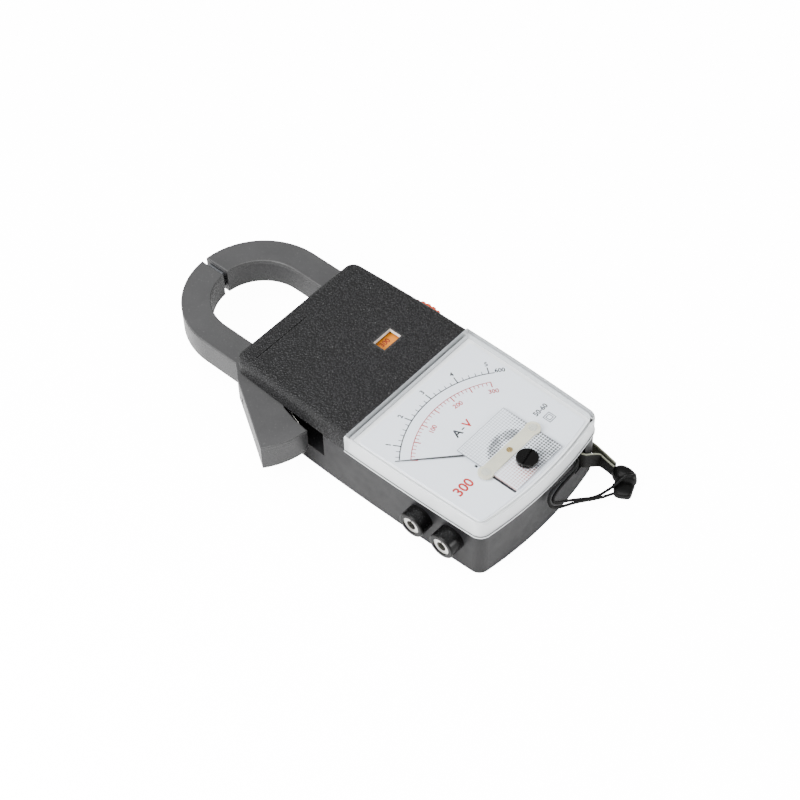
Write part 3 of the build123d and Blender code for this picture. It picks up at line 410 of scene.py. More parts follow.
@cache
def grained_cover_plastic():
    """Leather grain: rounded pebbles with a finer grain on top, a painted highlight on each pebble's crest
    and painted shade in the hollows between them.
    """
    shell = look("clamp_meter_shell")
    material, tree, shader = new_material("grained_cover_plastic")
    place = here(tree)
    bend = tree.nodes.new("ShaderNodeVectorMath")
    bend.operation = "MULTIPLY_ADD"
    wobble = tree.nodes.new("ShaderNodeTexNoise")
    wobble.inputs["Scale"].default_value = 900.0
    feed(wobble.inputs["Vector"], place)
    feed(bend.inputs[0], wobble.outputs["Color"])
    bend.inputs[1].default_value = (0.0006, 0.0006, 0.0006)
    feed(bend.inputs[2], place)
    cells = tree.nodes.new("ShaderNodeTexVoronoi")
    cells.feature = "SMOOTH_F1"
    cells.inputs["Scale"].default_value = 1 / shell.pebble_size
    cells.inputs["Smoothness"].default_value = 0.35
    feed(cells.inputs["Vector"], bend.outputs[0])
    pebbles = spread(cells.outputs["Distance"], 0.65, 0.1)
    fine = place_group(tree, "Fine Grain", Scale=4200.0)
    height = calc("ADD", pebbles, times(fine["Height"], 0.35))
    base = place_group(tree, "Two Tone", First=shade(shell.cover_colour, 0.75), Second=shell.cover_colour,
                       Scale=90.0)
    wear_and_painted_grain_light = blend_colours(place_group(tree, "Edge Wear", Width=0.0006, Strength=0.7)["Mask"],
                         base["Colour"], (0.07, 0.07, 0.07, 1))
    # Painted highlight: the pebble crests are painted lighter over the edge wear.
    crest_painted_highlight = times(spread(pebbles, 0.70, 1.0), 0.7)
    wear_and_painted_grain_light = blend_colours(crest_painted_highlight, wear_and_painted_grain_light, shade(shell.cover_colour, 3.2))
    # Painted shade: the hollows between the pebbles are painted darker.
    wear_and_painted_grain_light = blend_colours(spread(pebbles, 0.35, 0.05), wear_and_painted_grain_light, shade(shell.cover_colour, 0.25))
    feed(shader.inputs["Base Color"], blend_colours(
        place_group(tree, "Dust", Amount=0.35)["Mask"], wear_and_painted_grain_light, (0.16, 0.16, 0.16, 1)))
    shader.inputs["Specular IOR Level"].default_value = 0.3
    feed(shader.inputs["Roughness"], spread(pebbles, 0, 1, 0.62, 0.40))
    bumped(shader, height, shell.pebble_depth)
    return material


@cache
def jaw_plastic():
    tint = look("clamp_meter_shell").jaw_colour
    return finish("jaw_plastic", tint, 0.36, grain=3600, depth=0.008, wear=0.5,
                  wear_tint=(0.16, 0.16, 0.16, 1),
                  dust=0.08, tone=0.85, gloss=0.3)


# Same moulding as the jaw lids, painted darker as shade on the jaws' deep shells, and glossier.
jaw_shell_painted_shade_plastic = plain("jaw_shell_painted_shade_plastic", (0.024, 0.024, 0.025, 1), 0.30, grain=3600, depth=0.008,
                          wear=0.5, wear_tint=(0.12, 0.12, 0.12, 1), dust=0.08, tone=0.85, gloss=0.5)


def acrylic(name, tint, through, rough, passing):
    """A moulding that lets light through to what is behind it."""
    material, tree, shader = new_material(name)
    shader.inputs["Base Color"].default_value = tint
    shader.inputs["Transmission Weight"].default_value = through
    shader.inputs["IOR"].default_value = 1.49
    shader.inputs["Specular IOR Level"].default_value = 0.2
    pattern = place_group(tree, "Fine Grain", Scale=180.0)
    feed(shader.inputs["Roughness"], spread(pattern["Mask"], 0, 1, rough, rough + 0.04))
    clear = tree.nodes.new("ShaderNodeBsdfTransparent")
    clear.inputs[0].default_value = passing
    path = tree.nodes.new("ShaderNodeLightPath")
    let_lamps_in = calc("MAXIMUM", path.outputs["Is Shadow Ray"], path.outputs["Is Diffuse Ray"])
    mixed = tree.nodes.new("ShaderNodeMixShader")
    feed(mixed.inputs[0], let_lamps_in)
    feed(mixed.inputs[1], shader.outputs[0])
    feed(mixed.inputs[2], clear.outputs[0])
    out = next(node for node in tree.nodes if node.type == "OUTPUT_MATERIAL")
    feed(out.inputs[0], mixed.outputs[0])
    return material


@cache
def clear_acrylic():
    """Polished top of the lens."""
    return acrylic("clear_acrylic", (0.975, 0.985, 0.99, 1), 1.0, 0.01, (0.96, 0.97, 0.98, 1))


@cache
def lens_wall_painted_glow_acrylic():
    """Satin walls and edges of the lens, painted whitish as the glow of the light inside it."""
    return acrylic("lens_wall_painted_glow_acrylic", (0.80, 0.82, 0.83, 1), 0.45, 0.10, (0.90, 0.91, 0.92, 1))


@cache
def window_plastic():
    """Pale funnel walls round a clear floor."""
    material = finish("window_plastic", (0.72, 0.73, 0.70, 1), 0.25, grain=1800, depth=0.004)
    tree = material.node_tree
    z = axes(here(tree))[2]
    floor_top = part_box("range_window")[0].z + 0.9 * MM
    shader = tree.nodes["Principled BSDF"]
    feed(shader.inputs["Alpha"], spread(z, floor_top, floor_top + 0.1 * MM, 0.05, 1.0))
    walls = shader.inputs["Base Color"].links[0].from_socket
    rim = spread(axes(here(tree, "Normal"))[2], 0.7, 0.9)
    feed(shader.inputs["Base Color"], blend_colours(rim, walls, (0.03, 0.03, 0.03, 1)))
    return material


@cache
def label_foil():
    """Brushed foil with a printed border line and blank fields."""
    material, tree, shader = new_material("label_foil")
    x, y, _ = axes(here(tree))
    low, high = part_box("back_label")
    centre = (low + high) / 2
    from_x = calc("ABSOLUTE", minus(x, centre.x))
    from_y = calc("ABSOLUTE", minus(y, centre.y))
    edge = calc("MAXIMUM", minus(from_x, (high.x - low.x) / 2 - 1.5 * MM),
                minus(from_y, (high.y - low.y) / 2 - 1.5 * MM))
    border = calc("COMPARE", edge, 0.0, 0.15 * MM)
    rows = calc("COMPARE", calc("PINGPONG", calc("ADD", y, 0.5), 3 * MM), 0.0, 0.09 * MM)
    fields = times(rows, calc("LESS_THAN", edge, -2 * MM))
    ink = calc("MAXIMUM", border, fields)
    base = place_group(tree, "Two Tone", First=(0.50, 0.51, 0.52, 1), Second=(0.62, 0.63, 0.64, 1),
                       Scale=120.0)
    feed(shader.inputs["Base Color"], blend_colours(ink, base["Colour"], (0.03, 0.03, 0.03, 1)))
    shader.inputs["Metallic"].default_value = 0.85
    lines = place_group(tree, "Turned Lines", Vector=here(tree), Scale=900.0)
    feed(shader.inputs["Roughness"], spread(lines["Height"], 0, 1, 0.30, 0.42))
    bumped(shader, lines["Height"], 0.004 * MM)
    return material


@cache
def bright_nickel():
    """Plated brass with lathe rings."""
    material, tree, shader = new_material("bright_nickel")
    x, y, _ = axes(here(tree))
    turned = tree.nodes.new("ShaderNodeCombineXYZ")
    feed(turned.inputs[2], x)
    feed(turned.inputs[0], times(y, 0.02))
    lines = place_group(tree, "Turned Lines", Vector=turned.outputs[0], Scale=1500.0)
    base = place_group(tree, "Two Tone", First=(0.62, 0.61, 0.58, 1), Second=(0.80, 0.79, 0.76, 1),
                       Scale=400.0)
    feed(shader.inputs["Base Color"], base["Colour"])
    shader.inputs["Metallic"].default_value = 1.0
    feed(shader.inputs["Roughness"], spread(lines["Height"], 0, 1, 0.16, 0.28))
    bumped(shader, lines["Height"], 0.01 * MM)
    return material


zinc_screw_steel = plain("zinc_screw_steel", (0.60, 0.60, 0.58, 1), 0.34, metal=1.0, grain=4000, wear=0.4,
                         wear_tint=(0.8, 0.8, 0.8, 1))


@cache
def laminated_core_steel():
    """Stacked silicon-steel sheets."""
    material, tree, shader = new_material("laminated_core_steel")
    z = axes(here(tree))[2]
    seam = spread(calc("PINGPONG", z, 0.25 * MM), 0.0, 0.05 * MM)
    base = place_group(tree, "Two Tone", First=(0.20, 0.21, 0.23, 1), Second=(0.34, 0.35, 0.37, 1),
                       Scale=200.0)
    feed(shader.inputs["Base Color"], blend_colours(seam, (0.05, 0.05, 0.05, 1), base["Colour"]))
    shader.inputs["Metallic"].default_value = 1.0
    feed(shader.inputs["Roughness"], spread(seam, 0, 1, 0.6, 0.38))
    bumped(shader, seam, 0.04 * MM)
    return material


spring_steel = plain("spring_steel", (0.66, 0.65, 0.62, 1), 0.22, metal=1.0, grain=5000, depth=0.004)
pale_plate = plain("pale_plate", (0.74, 0.74, 0.64, 1), 0.3, metal=0.4, grain=3200, depth=0.006)
turned_brass = plain("turned_brass", (0.72, 0.52, 0.22, 1), 0.28, metal=1.0, grain=3000, depth=0.006)
enamelled_copper = plain("enamelled_copper", (0.62, 0.22, 0.07, 1), 0.24, metal=0.9, grain=2600,
                         depth=0.006)


@cache
def natural_nylon():
    """Milky nylon that glows a little with the light behind it."""
    material = finish("natural_nylon", (0.78, 0.75, 0.60, 1), 0.34, grain=1600, depth=0.006)
    shader = material.node_tree.nodes["Principled BSDF"]
    shader.inputs["Subsurface Weight"].default_value = 0.35
    shader.inputs["Subsurface Radius"].default_value = (0.001, 0.001, 0.0008)
    shader.inputs["Alpha"].default_value = 0.82
    return material


bobbin_nylon = plain("bobbin_nylon", (0.80, 0.78, 0.66, 1), 0.4, grain=1600, depth=0.006)
magnet_alloy = plain("magnet_alloy", (0.20, 0.19, 0.18, 1), 0.5, metal=0.8, grain=1500, depth=0.03)
die_cast_zinc = plain("die_cast_zinc", (0.55, 0.56, 0.57, 1), 0.45, metal=0.9, grain=1700, depth=0.02)


@cache
def wheel_plastic():
    return finish("wheel_plastic", look("clamp_meter_range").wheel_colour, 0.36, grain=2800, depth=0.008,
                  tone=0.85)


@cache
def board_laminate():
    """Green lacquer with a faint glass weave."""
    material, tree, shader = new_material("board_laminate")
    screen = place_group(tree, "Dot Screen", Pitch=0.0006, Size=0.42)["Mask"]
    feed(shader.inputs["Base Color"], blend_colours(screen, (0.02, 0.13, 0.05, 1), (0.025, 0.18, 0.07, 1)))
    pattern = place_group(tree, "Fine Grain", Scale=900.0)
    feed(shader.inputs["Roughness"], spread(pattern["Mask"], 0, 1, 0.22, 0.36))
    bumped(shader, screen, 0.01 * MM)
    return material


@cache
def resistor_lacquer():
    """Tan lacquer with coloured value rings."""
    material, tree, shader = new_material("resistor_lacquer")
    x = axes(here(tree))[0]
    along = calc("FRACT", calc("DIVIDE", calc("ADD", x, 0.5), 11 * MM))
    ring = calc("GREATER_THAN", calc("SINE", times(along, 60.0)), 0.55)
    feed(shader.inputs["Base Color"], blend_colours(ring, (0.62, 0.46, 0.28, 1), (0.30, 0.06, 0.03, 1)))
    pattern = place_group(tree, "Fine Grain", Scale=2000.0)
    feed(shader.inputs["Roughness"], spread(pattern["Mask"], 0, 1, 0.25, 0.4))
    bumped(shader, pattern["Height"], 0.01 * MM)
    return material


diode_glass = plain("diode_glass", (0.62, 0.16, 0.05, 1), 0.12, grain=900, depth=0.003)
trimmer_plastic = plain("trimmer_plastic", (0.03, 0.10, 0.38, 1), 0.4, grain=2200, depth=0.01)
lead_sleeve = plain("lead_sleeve", (0.45, 0.05, 0.03, 1), 0.45, grain=1800, depth=0.01)


@cache
def dial_enamel():
    """Cool white lacquer with the faintest orange peel."""
    dial = look("clamp_meter_dial")
    return finish("dial_enamel", dial.plate_colour, 0.42, grain=700, depth=0.004, tone=0.985, vary=0.05)


# Bright white of the frame round the dial.
surround_enamel = plain("surround_enamel", (0.97, 0.97, 0.97, 1), 0.36, grain=700, depth=0.004, tone=0.985,
                        vary=0.05)


@cache
def screen_print():
    """White screen with a fine ruled grid and square dots that thicken towards its lower corner."""
    dial = look("clamp_meter_dial")
    material, tree, shader = new_material("screen_print")
    place = here(tree)
    x, y, _ = axes(place)
    low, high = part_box("movement_screen")
    width, depth = high.x - low.x, high.y - low.y
    across = spread(x, low.x, high.x)
    down = spread(y, high.y, low.y)
    corner = spread(calc("ADD", times(across, 0.8), down), 0.65, 1.35)
    ring_x = minus(x, low.x + 0.52 * width)
    ring_y = minus(y, low.y + 0.32 * depth)
    reach = calc("SQRT", calc("ADD", times(ring_x, ring_x),
                                    times(ring_y, ring_y)))
    band = times(spread(reach, 7.0 * MM, 8.4 * MM), spread(reach, 13.6 * MM, 11.6 * MM))
    band = times(band, spread(down, 0.66, 0.50))
    clouds = spread(noise(place, 160.0, 1.0, 0.4), 0.35, 0.65, 0.75, 1.1)
    size = times(calc("MAXIMUM", times(corner, 0.40),
                                       times(band, 0.42)), clouds)
    screen = place_group(tree, "Dot Screen", Pitch=dial.dot_pitch, Size=size)
    rule = times(screen["Lines"], 0.42)
    from_side = calc("MINIMUM", minus(x, low.x), minus(high.x, x))
    from_edge = calc("MINIMUM", from_side, minus(high.y, y))
    border = spread(from_edge, 0.26 * MM, 0.18 * MM, 0.0, 0.75)
    to_red = times(spread(across, 0.50, 0.30), spread(down, 0.55, 0.68))
    ink = blend_colours(to_red, dial.black_ink, (0.45, 0.16, 0.12, 1))
    cover = calc("MAXIMUM", times(screen["Mask"], 0.9), calc("MAXIMUM", rule, border))
    base = place_group(tree, "Two Tone", First=shade(dial.plate_colour, 0.95), Second=dial.plate_colour,
                       Scale=150.0)
    feed(shader.inputs["Base Color"], blend_colours(cover, base["Colour"], ink))
    feed(shader.inputs["Roughness"], spread(cover, 0, 1, 0.42, 0.30))
    bumped(shader, cover, 0.004 * MM)
    return material


@cache
def black_ink():
    return finish("black_ink", look("clamp_meter_dial").black_ink, 0.5, grain=3000, depth=0.003)


@cache
def red_ink():
    return finish("red_ink", look("clamp_meter_dial").red_ink, 0.5, grain=3000, depth=0.003)


needle_lacquer = plain("needle_lacquer", (0.02, 0.02, 0.022, 1), 0.4, grain=4000, depth=0.002)
knob_plastic = plain("knob_plastic", (0.004, 0.004, 0.004, 1), 0.26, grain=3000, depth=0.006, wear=0.3,
                     wear_tint=(0.02, 0.02, 0.02, 1), gloss=0.14)


@cache
def amber_label():
    """Amber paper, a little brighter in places."""
    tint = look("clamp_meter_range").label_colour
    return finish("amber_label", tint, 0.5, grain=2000, depth=0.006, tone=0.75)


label_digits = plain("label_digits", (0.22, 0.012, 0.004, 1), 0.5, grain=2500, depth=0.003)


@cache
def strap_webbing():
    """Woven band: near half painted black as shade, far half in the band's own olive, with pale threads along
    its top edge.
    """
    strap = look("clamp_meter_strap")
    material, tree, shader = new_material("strap_webbing")
    weave = place_group(tree, "Weave", Along=90.0, Across=5.0)
    along, across, _ = axes(here(tree, "UV"))
    far_half = spread(along, 0.58, 0.62)
    top_edge = spread(across, 0.92, 0.96)
    both_edges = spread(calc("ABSOLUTE", minus(across, 0.5)), 0.40, 0.44)
    edge = calc("MAXIMUM", top_edge, times(both_edges, far_half))
    # Painted shade: the near half takes the black, the far half the olive.
    ground = blend_colours(far_half, strap.near_half_painted_shade_colour, (0.09, 0.09, 0.06, 1))
    core = blend_colours(weave["Mask"], (0.004, 0.004, 0.004, 1), ground)
    feed(shader.inputs["Base Color"], blend_colours(
        times(edge, 0.8), core, strap.edge_colour))
    feed(shader.inputs["Roughness"], spread(weave["Mask"], 0, 1, 0.85, 0.6))
    shader.inputs["Specular IOR Level"].default_value = 0.2
    bumped(shader, weave["Height"], 0.08 * MM)
    return material


clasp_plastic = plain("clasp_plastic", (0.003, 0.003, 0.003, 1), 0.38, grain=2000, depth=0.012, wear=0.3,
                      wear_tint=(0.02, 0.02, 0.02, 1), gloss=0.15)


@cache
def cord_fibre():
    """Twisted black nylon."""
    strap = look("clamp_meter_strap")
    material, tree, shader = new_material("cord_fibre")
    weave = place_group(tree, "Weave", Along=160.0, Across=6.0)
    feed(shader.inputs["Base Color"], blend_colours(
        weave["Mask"], shade(strap.cord_colour, 0.6), shade(strap.cord_colour, 2.6)))
    feed(shader.inputs["Roughness"], spread(weave["Mask"], 0, 1, 0.75, 0.5))
    shader.inputs["Specular IOR Level"].default_value = 0.12
    bumped(shader, weave["Height"], 0.03 * MM)
    return material


# ---------------------------------------------------------------- mesh tools
LEVEL_FACE = 0.9
SHARP_EDGE = radians(40)
LETTER_SIZE = 1.35
LETTER_WEIGHT = 0.035


def dress(node_name, material):
    """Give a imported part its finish."""
    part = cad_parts[node_name]
    if not part.material_slots:
        part.data.materials.append(material)
    for held in part.material_slots:
        held.material = material


def dress_lens():
    """Polish the lens's level faces and give its walls and edges the satin acrylic that is painted whitish as
    glow.
    """
    dress("meter_lens", clear_acrylic())
    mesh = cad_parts["meter_lens"].data
    mesh.materials.append(lens_wall_painted_glow_acrylic())
    for face in mesh.polygons:
        face.material_index = 0 if abs(face.normal.z) > LEVEL_FACE else 1


def add_piece(name, built, material, body=None, smooth=True):
    """Turn a bmesh into a piece that rides on a body."""
    mesh = bpy.data.meshes.new(name)
    bmesh.ops.recalc_face_normals(built, faces=built.faces)
    built.to_mesh(mesh)
    built.free()
    mesh.materials.append(material)
    piece = bpy.data.objects.new(name, mesh)
    bpy.context.collection.objects.link(piece)
    if smooth:
        mesh.shade_smooth()
        mesh.set_sharp_from_angle(angle=SHARP_EDGE)
    if body:
        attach(piece, body)
    return piece


def skin(built, rings):
    """Close a stack of rings of vertices: sides between neighbours and a cap at each end."""
    count = len(rings[0])
    for first, second in zip(rings, rings[1:]):
        for k in range(count):
            after = (k + 1) % count
            built.faces.new((first[k], first[after], second[after], second[k]))
    built.faces.new(rings[0][::-1])
    built.faces.new(rings[-1])


def add_prism(built, outline, low, high):
    """An upright prism on an outline of x, y points."""
    skin(built, [[built.verts.new((x, y, level)) for x, y in outline] for level in (low, high)])


def add_arc(built, centre, radius, width, start, end, low, high, steps=48):
    """A curved bar from one angle to another."""
    outline = []
    for reach, order in ((radius + width / 2, range(steps + 1)),
                         (radius - width / 2, range(steps, -1, -1))):
        for k in order:
            angle = start + (end - start) * k / steps
            outline.append((centre[0] + reach * cos(angle), centre[1] + reach * sin(angle)))
    rings = steps + 1
    bottom = [built.verts.new((x, y, low)) for x, y in outline]
    top = [built.verts.new((x, y, high)) for x, y in outline]
    last = 2 * rings - 1
    for k in range(steps):
        a, b, c, d = k, k + 1, last - k - 1, last - k
        built.faces.new((top[a], top[b], top[c], top[d]))
        built.faces.new((bottom[d], bottom[c], bottom[b], bottom[a]))
        built.faces.new((bottom[a], bottom[b], top[b], top[a]))
        built.faces.new((bottom[c], bottom[d], top[d], top[c]))
    for a, b in ((last, 0), (rings - 1, rings)):
        built.faces.new((bottom[a], bottom[b], top[b], top[a]))


def add_ray(built, centre, inner, outer, angle, width, low, high):
    """A straight bar that points away from a centre."""
    along = Vector((cos(angle), sin(angle)))
    across = Vector((-sin(angle), cos(angle))) * (width / 2)
    middle = Vector(centre)
    near, far = middle + along * inner, middle + along * outer
    add_prism(built, [near - across, far - across, far + across, near + across], low, high)


def add_bar(built, span_x, span_y, low, high):
    """An upright bar between two x and two y values in millimetres."""
    x0, x1 = (value * MM for value in span_x)
    y0, y1 = (value * MM for value in span_y)
    add_prism(built, [(x0, y0), (x1, y0), (x1, y1), (x0, y1)], low, high)


def add_text(built, words, centre, height, angle, low, high):
    """Raised characters, upright on a plane, turned by an angle."""
    data = bpy.data.curves.new("lettering", "FONT")
    data.body = words
    data.size = height * LETTER_SIZE
    data.align_x = "CENTER"
    data.align_y = "CENTER"
    data.resolution_u = 3
    data.offset = height * LETTER_WEIGHT
    data.extrude = (high - low) / 2
    holder = bpy.data.objects.new("lettering", data)
    bpy.context.collection.objects.link(holder)
    bpy.context.view_layer.update()
    mesh = bpy.data.meshes.new_from_object(holder.evaluated_get(bpy.context.evaluated_depsgraph_get()))
    place = Matrix.Translation((centre[0], centre[1], (low + high) / 2)) @ Matrix.Rotation(angle, 4, "Z")
    mesh.transform(place)
    built.from_mesh(mesh)
    bpy.data.objects.remove(holder)
    bpy.data.curves.remove(data)
    bpy.data.meshes.remove(mesh)


def read_line(points):
    """The points of a smooth open curve that has the given points as its control points."""
    data = bpy.data.curves.new("guide", "CURVE")
    data.dimensions = "3D"
    data.resolution_u = 10
    spline = data.splines.new("NURBS")
    spline.points.add(len(points) - 1)
    for knot, (x, y, z) in zip(spline.points, points):
        knot.co = (x, y, z, 1)
    spline.order_u = 3
    spline.use_endpoint_u = True
    holder = bpy.data.objects.new("guide", data)
    mesh = bpy.data.meshes.new_from_object(holder)
    line = [vertex.co.copy() for vertex in mesh.vertices]
    bpy.data.meshes.remove(mesh)
    bpy.data.objects.remove(holder)
    bpy.data.curves.remove(data)
    return line


def frames_along(line):
    """Two directions across a line at each of its points, carried along without twist."""
    sides = []
    side = Vector((0, 0, 1))
    for k in range(len(line)):
        along = (line[min(k + 1, len(line) - 1)] - line[max(k - 1, 0)]).normalized()
        side = (side - along * side.dot(along)).normalized()
        sides.append((side, along.cross(side)))
    return sides


def add_tube(built, line, radius_at, around=14):
    """A closed tube along a line, with a radius for each place and angle, and a UV map along it."""
    map_layer = built.loops.layers.uv.verify()
    rings = []
    run = [0.0]
    for before, after in zip(line, line[1:]):
        run.append(run[-1] + (after - before).length)
    for (side, other), point, far in zip(frames_along(line), line, run):
        ring = []
        for k in range(around):
            angle = tau * k / around
            radius = radius_at(far, angle)
            ring.append(built.verts.new(point + side * (radius * cos(angle)) + other * (radius * sin(angle))))
        rings.append(ring)
    for k, (first, second) in enumerate(zip(rings, rings[1:])):
        for j in range(around):
            after = (j + 1) % around
            face = built.faces.new((first[j], first[after], second[after], second[j]))
            corners = ((k, j), (k, j + 1), (k + 1, j + 1), (k + 1, j))
            for loop, (step, turn) in zip(face.loops, corners):
                loop[map_layer].uv = (run[step] / run[-1], turn / around)
    built.faces.new(rings[0][::-1])
    built.faces.new(rings[-1])


# ---------------------------------------------------------------- camera, lamps and floor
def aim(eye, target, roll=0.0):
    """A turn that looks from one point to another."""
    return (Vector(target) - Vector(eye)).to_track_quat("-Z", "Y") @ Quaternion((0, 0, 1), roll)


CAMERA_TARGET = Vector((1.034, 4.846, 15.0)) * MM
SOFT_BOXES = (
    ("key", (-0.48, 0.12, 0.32), 0.30, 4.6),
    ("front", (0.42, -0.78, 0.28), 0.36, 6.5),
)
SUN_PLACE = (-0.35, 0.12, 0.95)
SUN_SPREAD = radians(70)
SUN_POWER = 5.2
SURROUND_POWER = 0.42
FLOOR_GLOW = 13.0
FLOOR_REACH = 3.0
FLOOR_DEPTH = 0.01


def make_camera():
    """Camera at the product's three-quarter view."""
    stage = look("clamp_meter_stage")
    out = Vector((sin(stage.azimuth) * cos(stage.elevation), -cos(stage.azimuth) * cos(stage.elevation),
                  sin(stage.elevation)))
    data = bpy.data.cameras.new("camera")
    data.lens = stage.focal
    data.clip_start = 0.01
    camera = bpy.data.objects.new("camera", data)
    camera.location = CAMERA_TARGET + out * stage.distance
    camera.rotation_mode = "QUATERNION"
    camera.rotation_quaternion = aim(camera.location, CAMERA_TARGET, stage.roll)
    bpy.context.collection.objects.link(camera)
    bpy.context.scene.camera = camera


def add_lamp(name, kind, place, power):
    """A lamp aimed at the object."""
    data = bpy.data.lights.new(name, kind)
    data.energy = power
    lamp = bpy.data.objects.new(name, data)
    lamp.location = place
    lamp.rotation_mode = "QUATERNION"
    lamp.rotation_quaternion = aim(place, (0, 0, 0))
    bpy.context.collection.objects.link(lamp)
    return data


def make_lamps():
    """A broad overhead light, two soft boxes and a pale surround."""
    add_lamp("overhead", "SUN", SUN_PLACE, SUN_POWER).angle = SUN_SPREAD
    for name, place, size, power in SOFT_BOXES:
        box = add_lamp(name, "AREA", place, power)
        box.shape = "DISK"
        box.size = size
    world = bpy.data.worlds.new("surround")
    world.use_nodes = True
    world.node_tree.nodes["Background"].inputs[0].default_value = (1.0, 1.0, 1.0, 1)
    world.node_tree.nodes["Background"].inputs[1].default_value = SURROUND_POWER
    bpy.context.scene.world = world


def make_floor():
    """Pale matt floor that glows white to the camera alone."""
    half = FLOOR_REACH
    built = bmesh.new()
    add_prism(built, [(-half, -half), (half, -half), (half, half), (-half, half)], -FLOOR_DEPTH, 0.0)
    mesh = bpy.data.meshes.new("floor")
    built.to_mesh(mesh)
    built.free()
    tint = look("clamp_meter_stage").floor_colour
    paper = finish("floor_paper", tint, 0.75, grain=400, depth=0.002, tone=0.985)
    tree = paper.node_tree
    shader = tree.nodes["Principled BSDF"]
    shader.inputs["Emission Color"].default_value = (1.0, 1.0, 1.0, 1)
    seen = tree.nodes.new("ShaderNodeLightPath").outputs["Is Camera Ray"]
    feed(shader.inputs["Emission Strength"], times(seen, FLOOR_GLOW))
    mesh.materials.append(paper)
    floor = bpy.data.objects.new("floor", mesh)
    bpy.context.collection.objects.link(floor)


# ---------------------------------------------------------------- wrist strap
# Routes in millimetres, from the case to the clasp.
CORD_ROUTE_A = (
    (20.6, -62.4, 20.0), (19.4, -66.2, 20.2), (15.4, -67.9, 20.9), (9.4, -68.1, 21.4), (4.2, -68.3, 21.5),
    (0.4, -68.4, 20.9), (-1.0, -68.5, 18.9), (-1.2, -68.9, 16.4), (-0.6, -69.9, 14.1), (1.8, -70.9, 12.4),
    (5.4, -71.8, 11.0), (10.6, -73.0, 8.8), (17.3, -75.3, 5.6), (22.4, -77.2, 3.7), (27.4, -79.1, 2.8))
CORD_ROUTE_B = (
    (20.0, -62.6, 17.8), (19.2, -66.4, 18.0), (15.0, -68.0, 18.9), (9.8, -68.5, 19.5), (5.8, -68.5, 19.0),
    (2.9, -68.6, 18.0), (1.1, -68.8, 16.6), (1.1, -69.4, 15.0), (2.9, -70.1, 13.6), (6.6, -70.7, 11.4),
    (11.8, -71.9, 8.2), (18.2, -74.4, 4.6), (23.8, -75.9, 3.4), (28.7, -76.9, 4.0))
# Places in millimetres along the band, each with the direction across it.
BAND_LOOP = (
    ((33.6, -72.9, 4.3), (0, 0, 1)),
    ((34.5, -66.6, 4.3), (0, 0, 1)),
    ((33.6, -65.5, 5.2), (0.35, 0, 0.94)),
    ((25.4, -66.2, 13.4), (0.62, 0, 0.78)),
    ((23.0, -65.9, 15.4), (0.2, 0, 0.98)),
    ((22.8, -61.2, 15.4), (0, 0, 1)),
    ((30.4, -56.2, 7.2), (0, 0, 1)),
    ((35.4, -55.9, 6.4), (0, 0, 1)),
    ((37.0, -59.4, 5.4), (0, 0, 1)),
    ((36.9, -64.5, 4.4), (0, 0, 1)),
    ((35.4, -72.2, 4.3), (0, 0, 1)),
)


def in_metres(points):
    """Points given in millimetres."""
    return [Vector(point) * MM for point in points]


def make_cord(name, route, node_name):
    """One strand of the thin cord, twisted from three yarns."""
    strap = look("clamp_meter_strap")
    line = read_line(in_metres(route))
    radius = strap.cord_diameter / 2
    pitch = 2.6 * MM

    def lobed(far, angle):
        return radius * (0.90 + 0.10 * cos(3 * (angle - tau * far / pitch)))
    built = bmesh.new()
    add_tube(built, line, lobed, around=18)
    piece = add_piece(name, built, cord_fibre(), "case")
    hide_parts(node_name)
    return piece, line


def make_band():
    """Flat woven band, looped through the two slots round the case corner."""
    strap = look("clamp_meter_strap")
    half = strap.band_width / 2
    rails = []
    for side in (-1, 1):
        rail = [Vector(centre) * MM + Vector(across).normalized() * (side * half) for centre,
                across in BAND_LOOP]
        rails.append(read_line(rail))
    built = bmesh.new()
    map_layer = built.loops.layers.uv.verify()
    columns = 12
    half_thickness = strap.band_thickness / 2
    sections = []
    count = len(rails[0])
    for k in range(count):
        low, high = rails[0][k], rails[1][k]
        before, after = max(k - 1, 0), min(k + 1, count - 1)
        along = (rails[0][after] + rails[1][after] - rails[0][before] - rails[1][before]).normalized()
        out = along.cross((high - low).normalized())
        section = []
        for face_side in (1, -1):
            for j in range(columns + 1):
                share = j / columns if face_side > 0 else 1 - j / columns
                edge = abs(2 * share - 1) ** 6
                thick = half_thickness * (1 - 0.45 * edge)
                section.append((low.lerp(high, share) + out * (face_side * thick), share))
        sections.append([(built.verts.new(place), share) for place, share in section])
    around = len(sections[0])
    for k in range(count - 1):
        for j in range(around):
            after = (j + 1) % around
            ring = (sections[k][j], sections[k][after], sections[k + 1][after], sections[k + 1][j])
            face = built.faces.new([vertex for vertex, _ in ring])
            for loop, (_, share), step in zip(face.loops, ring, (k, k, k + 1, k + 1)):
                loop[map_layer].uv = (step / count, share)
    built.faces.new([vertex for vertex, _ in sections[0]][::-1])
    built.faces.new([vertex for vertex, _ in sections[-1]])
    piece = add_piece("strap_band_woven", built, strap_webbing(), "case")
    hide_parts("strap_band")
    return piece


def add_dome(built, outline, centre, levels):
    """A soft lump: one outline stacked at several heights and sizes."""
    rings = []
    for height, size in levels:
        ring = []
        for point in outline:
            place = Vector(centre).lerp(Vector(point), size)
            ring.append(built.verts.new((place.x * MM, place.y * MM, height * MM)))
        rings.append(ring)
    skin(built, rings)


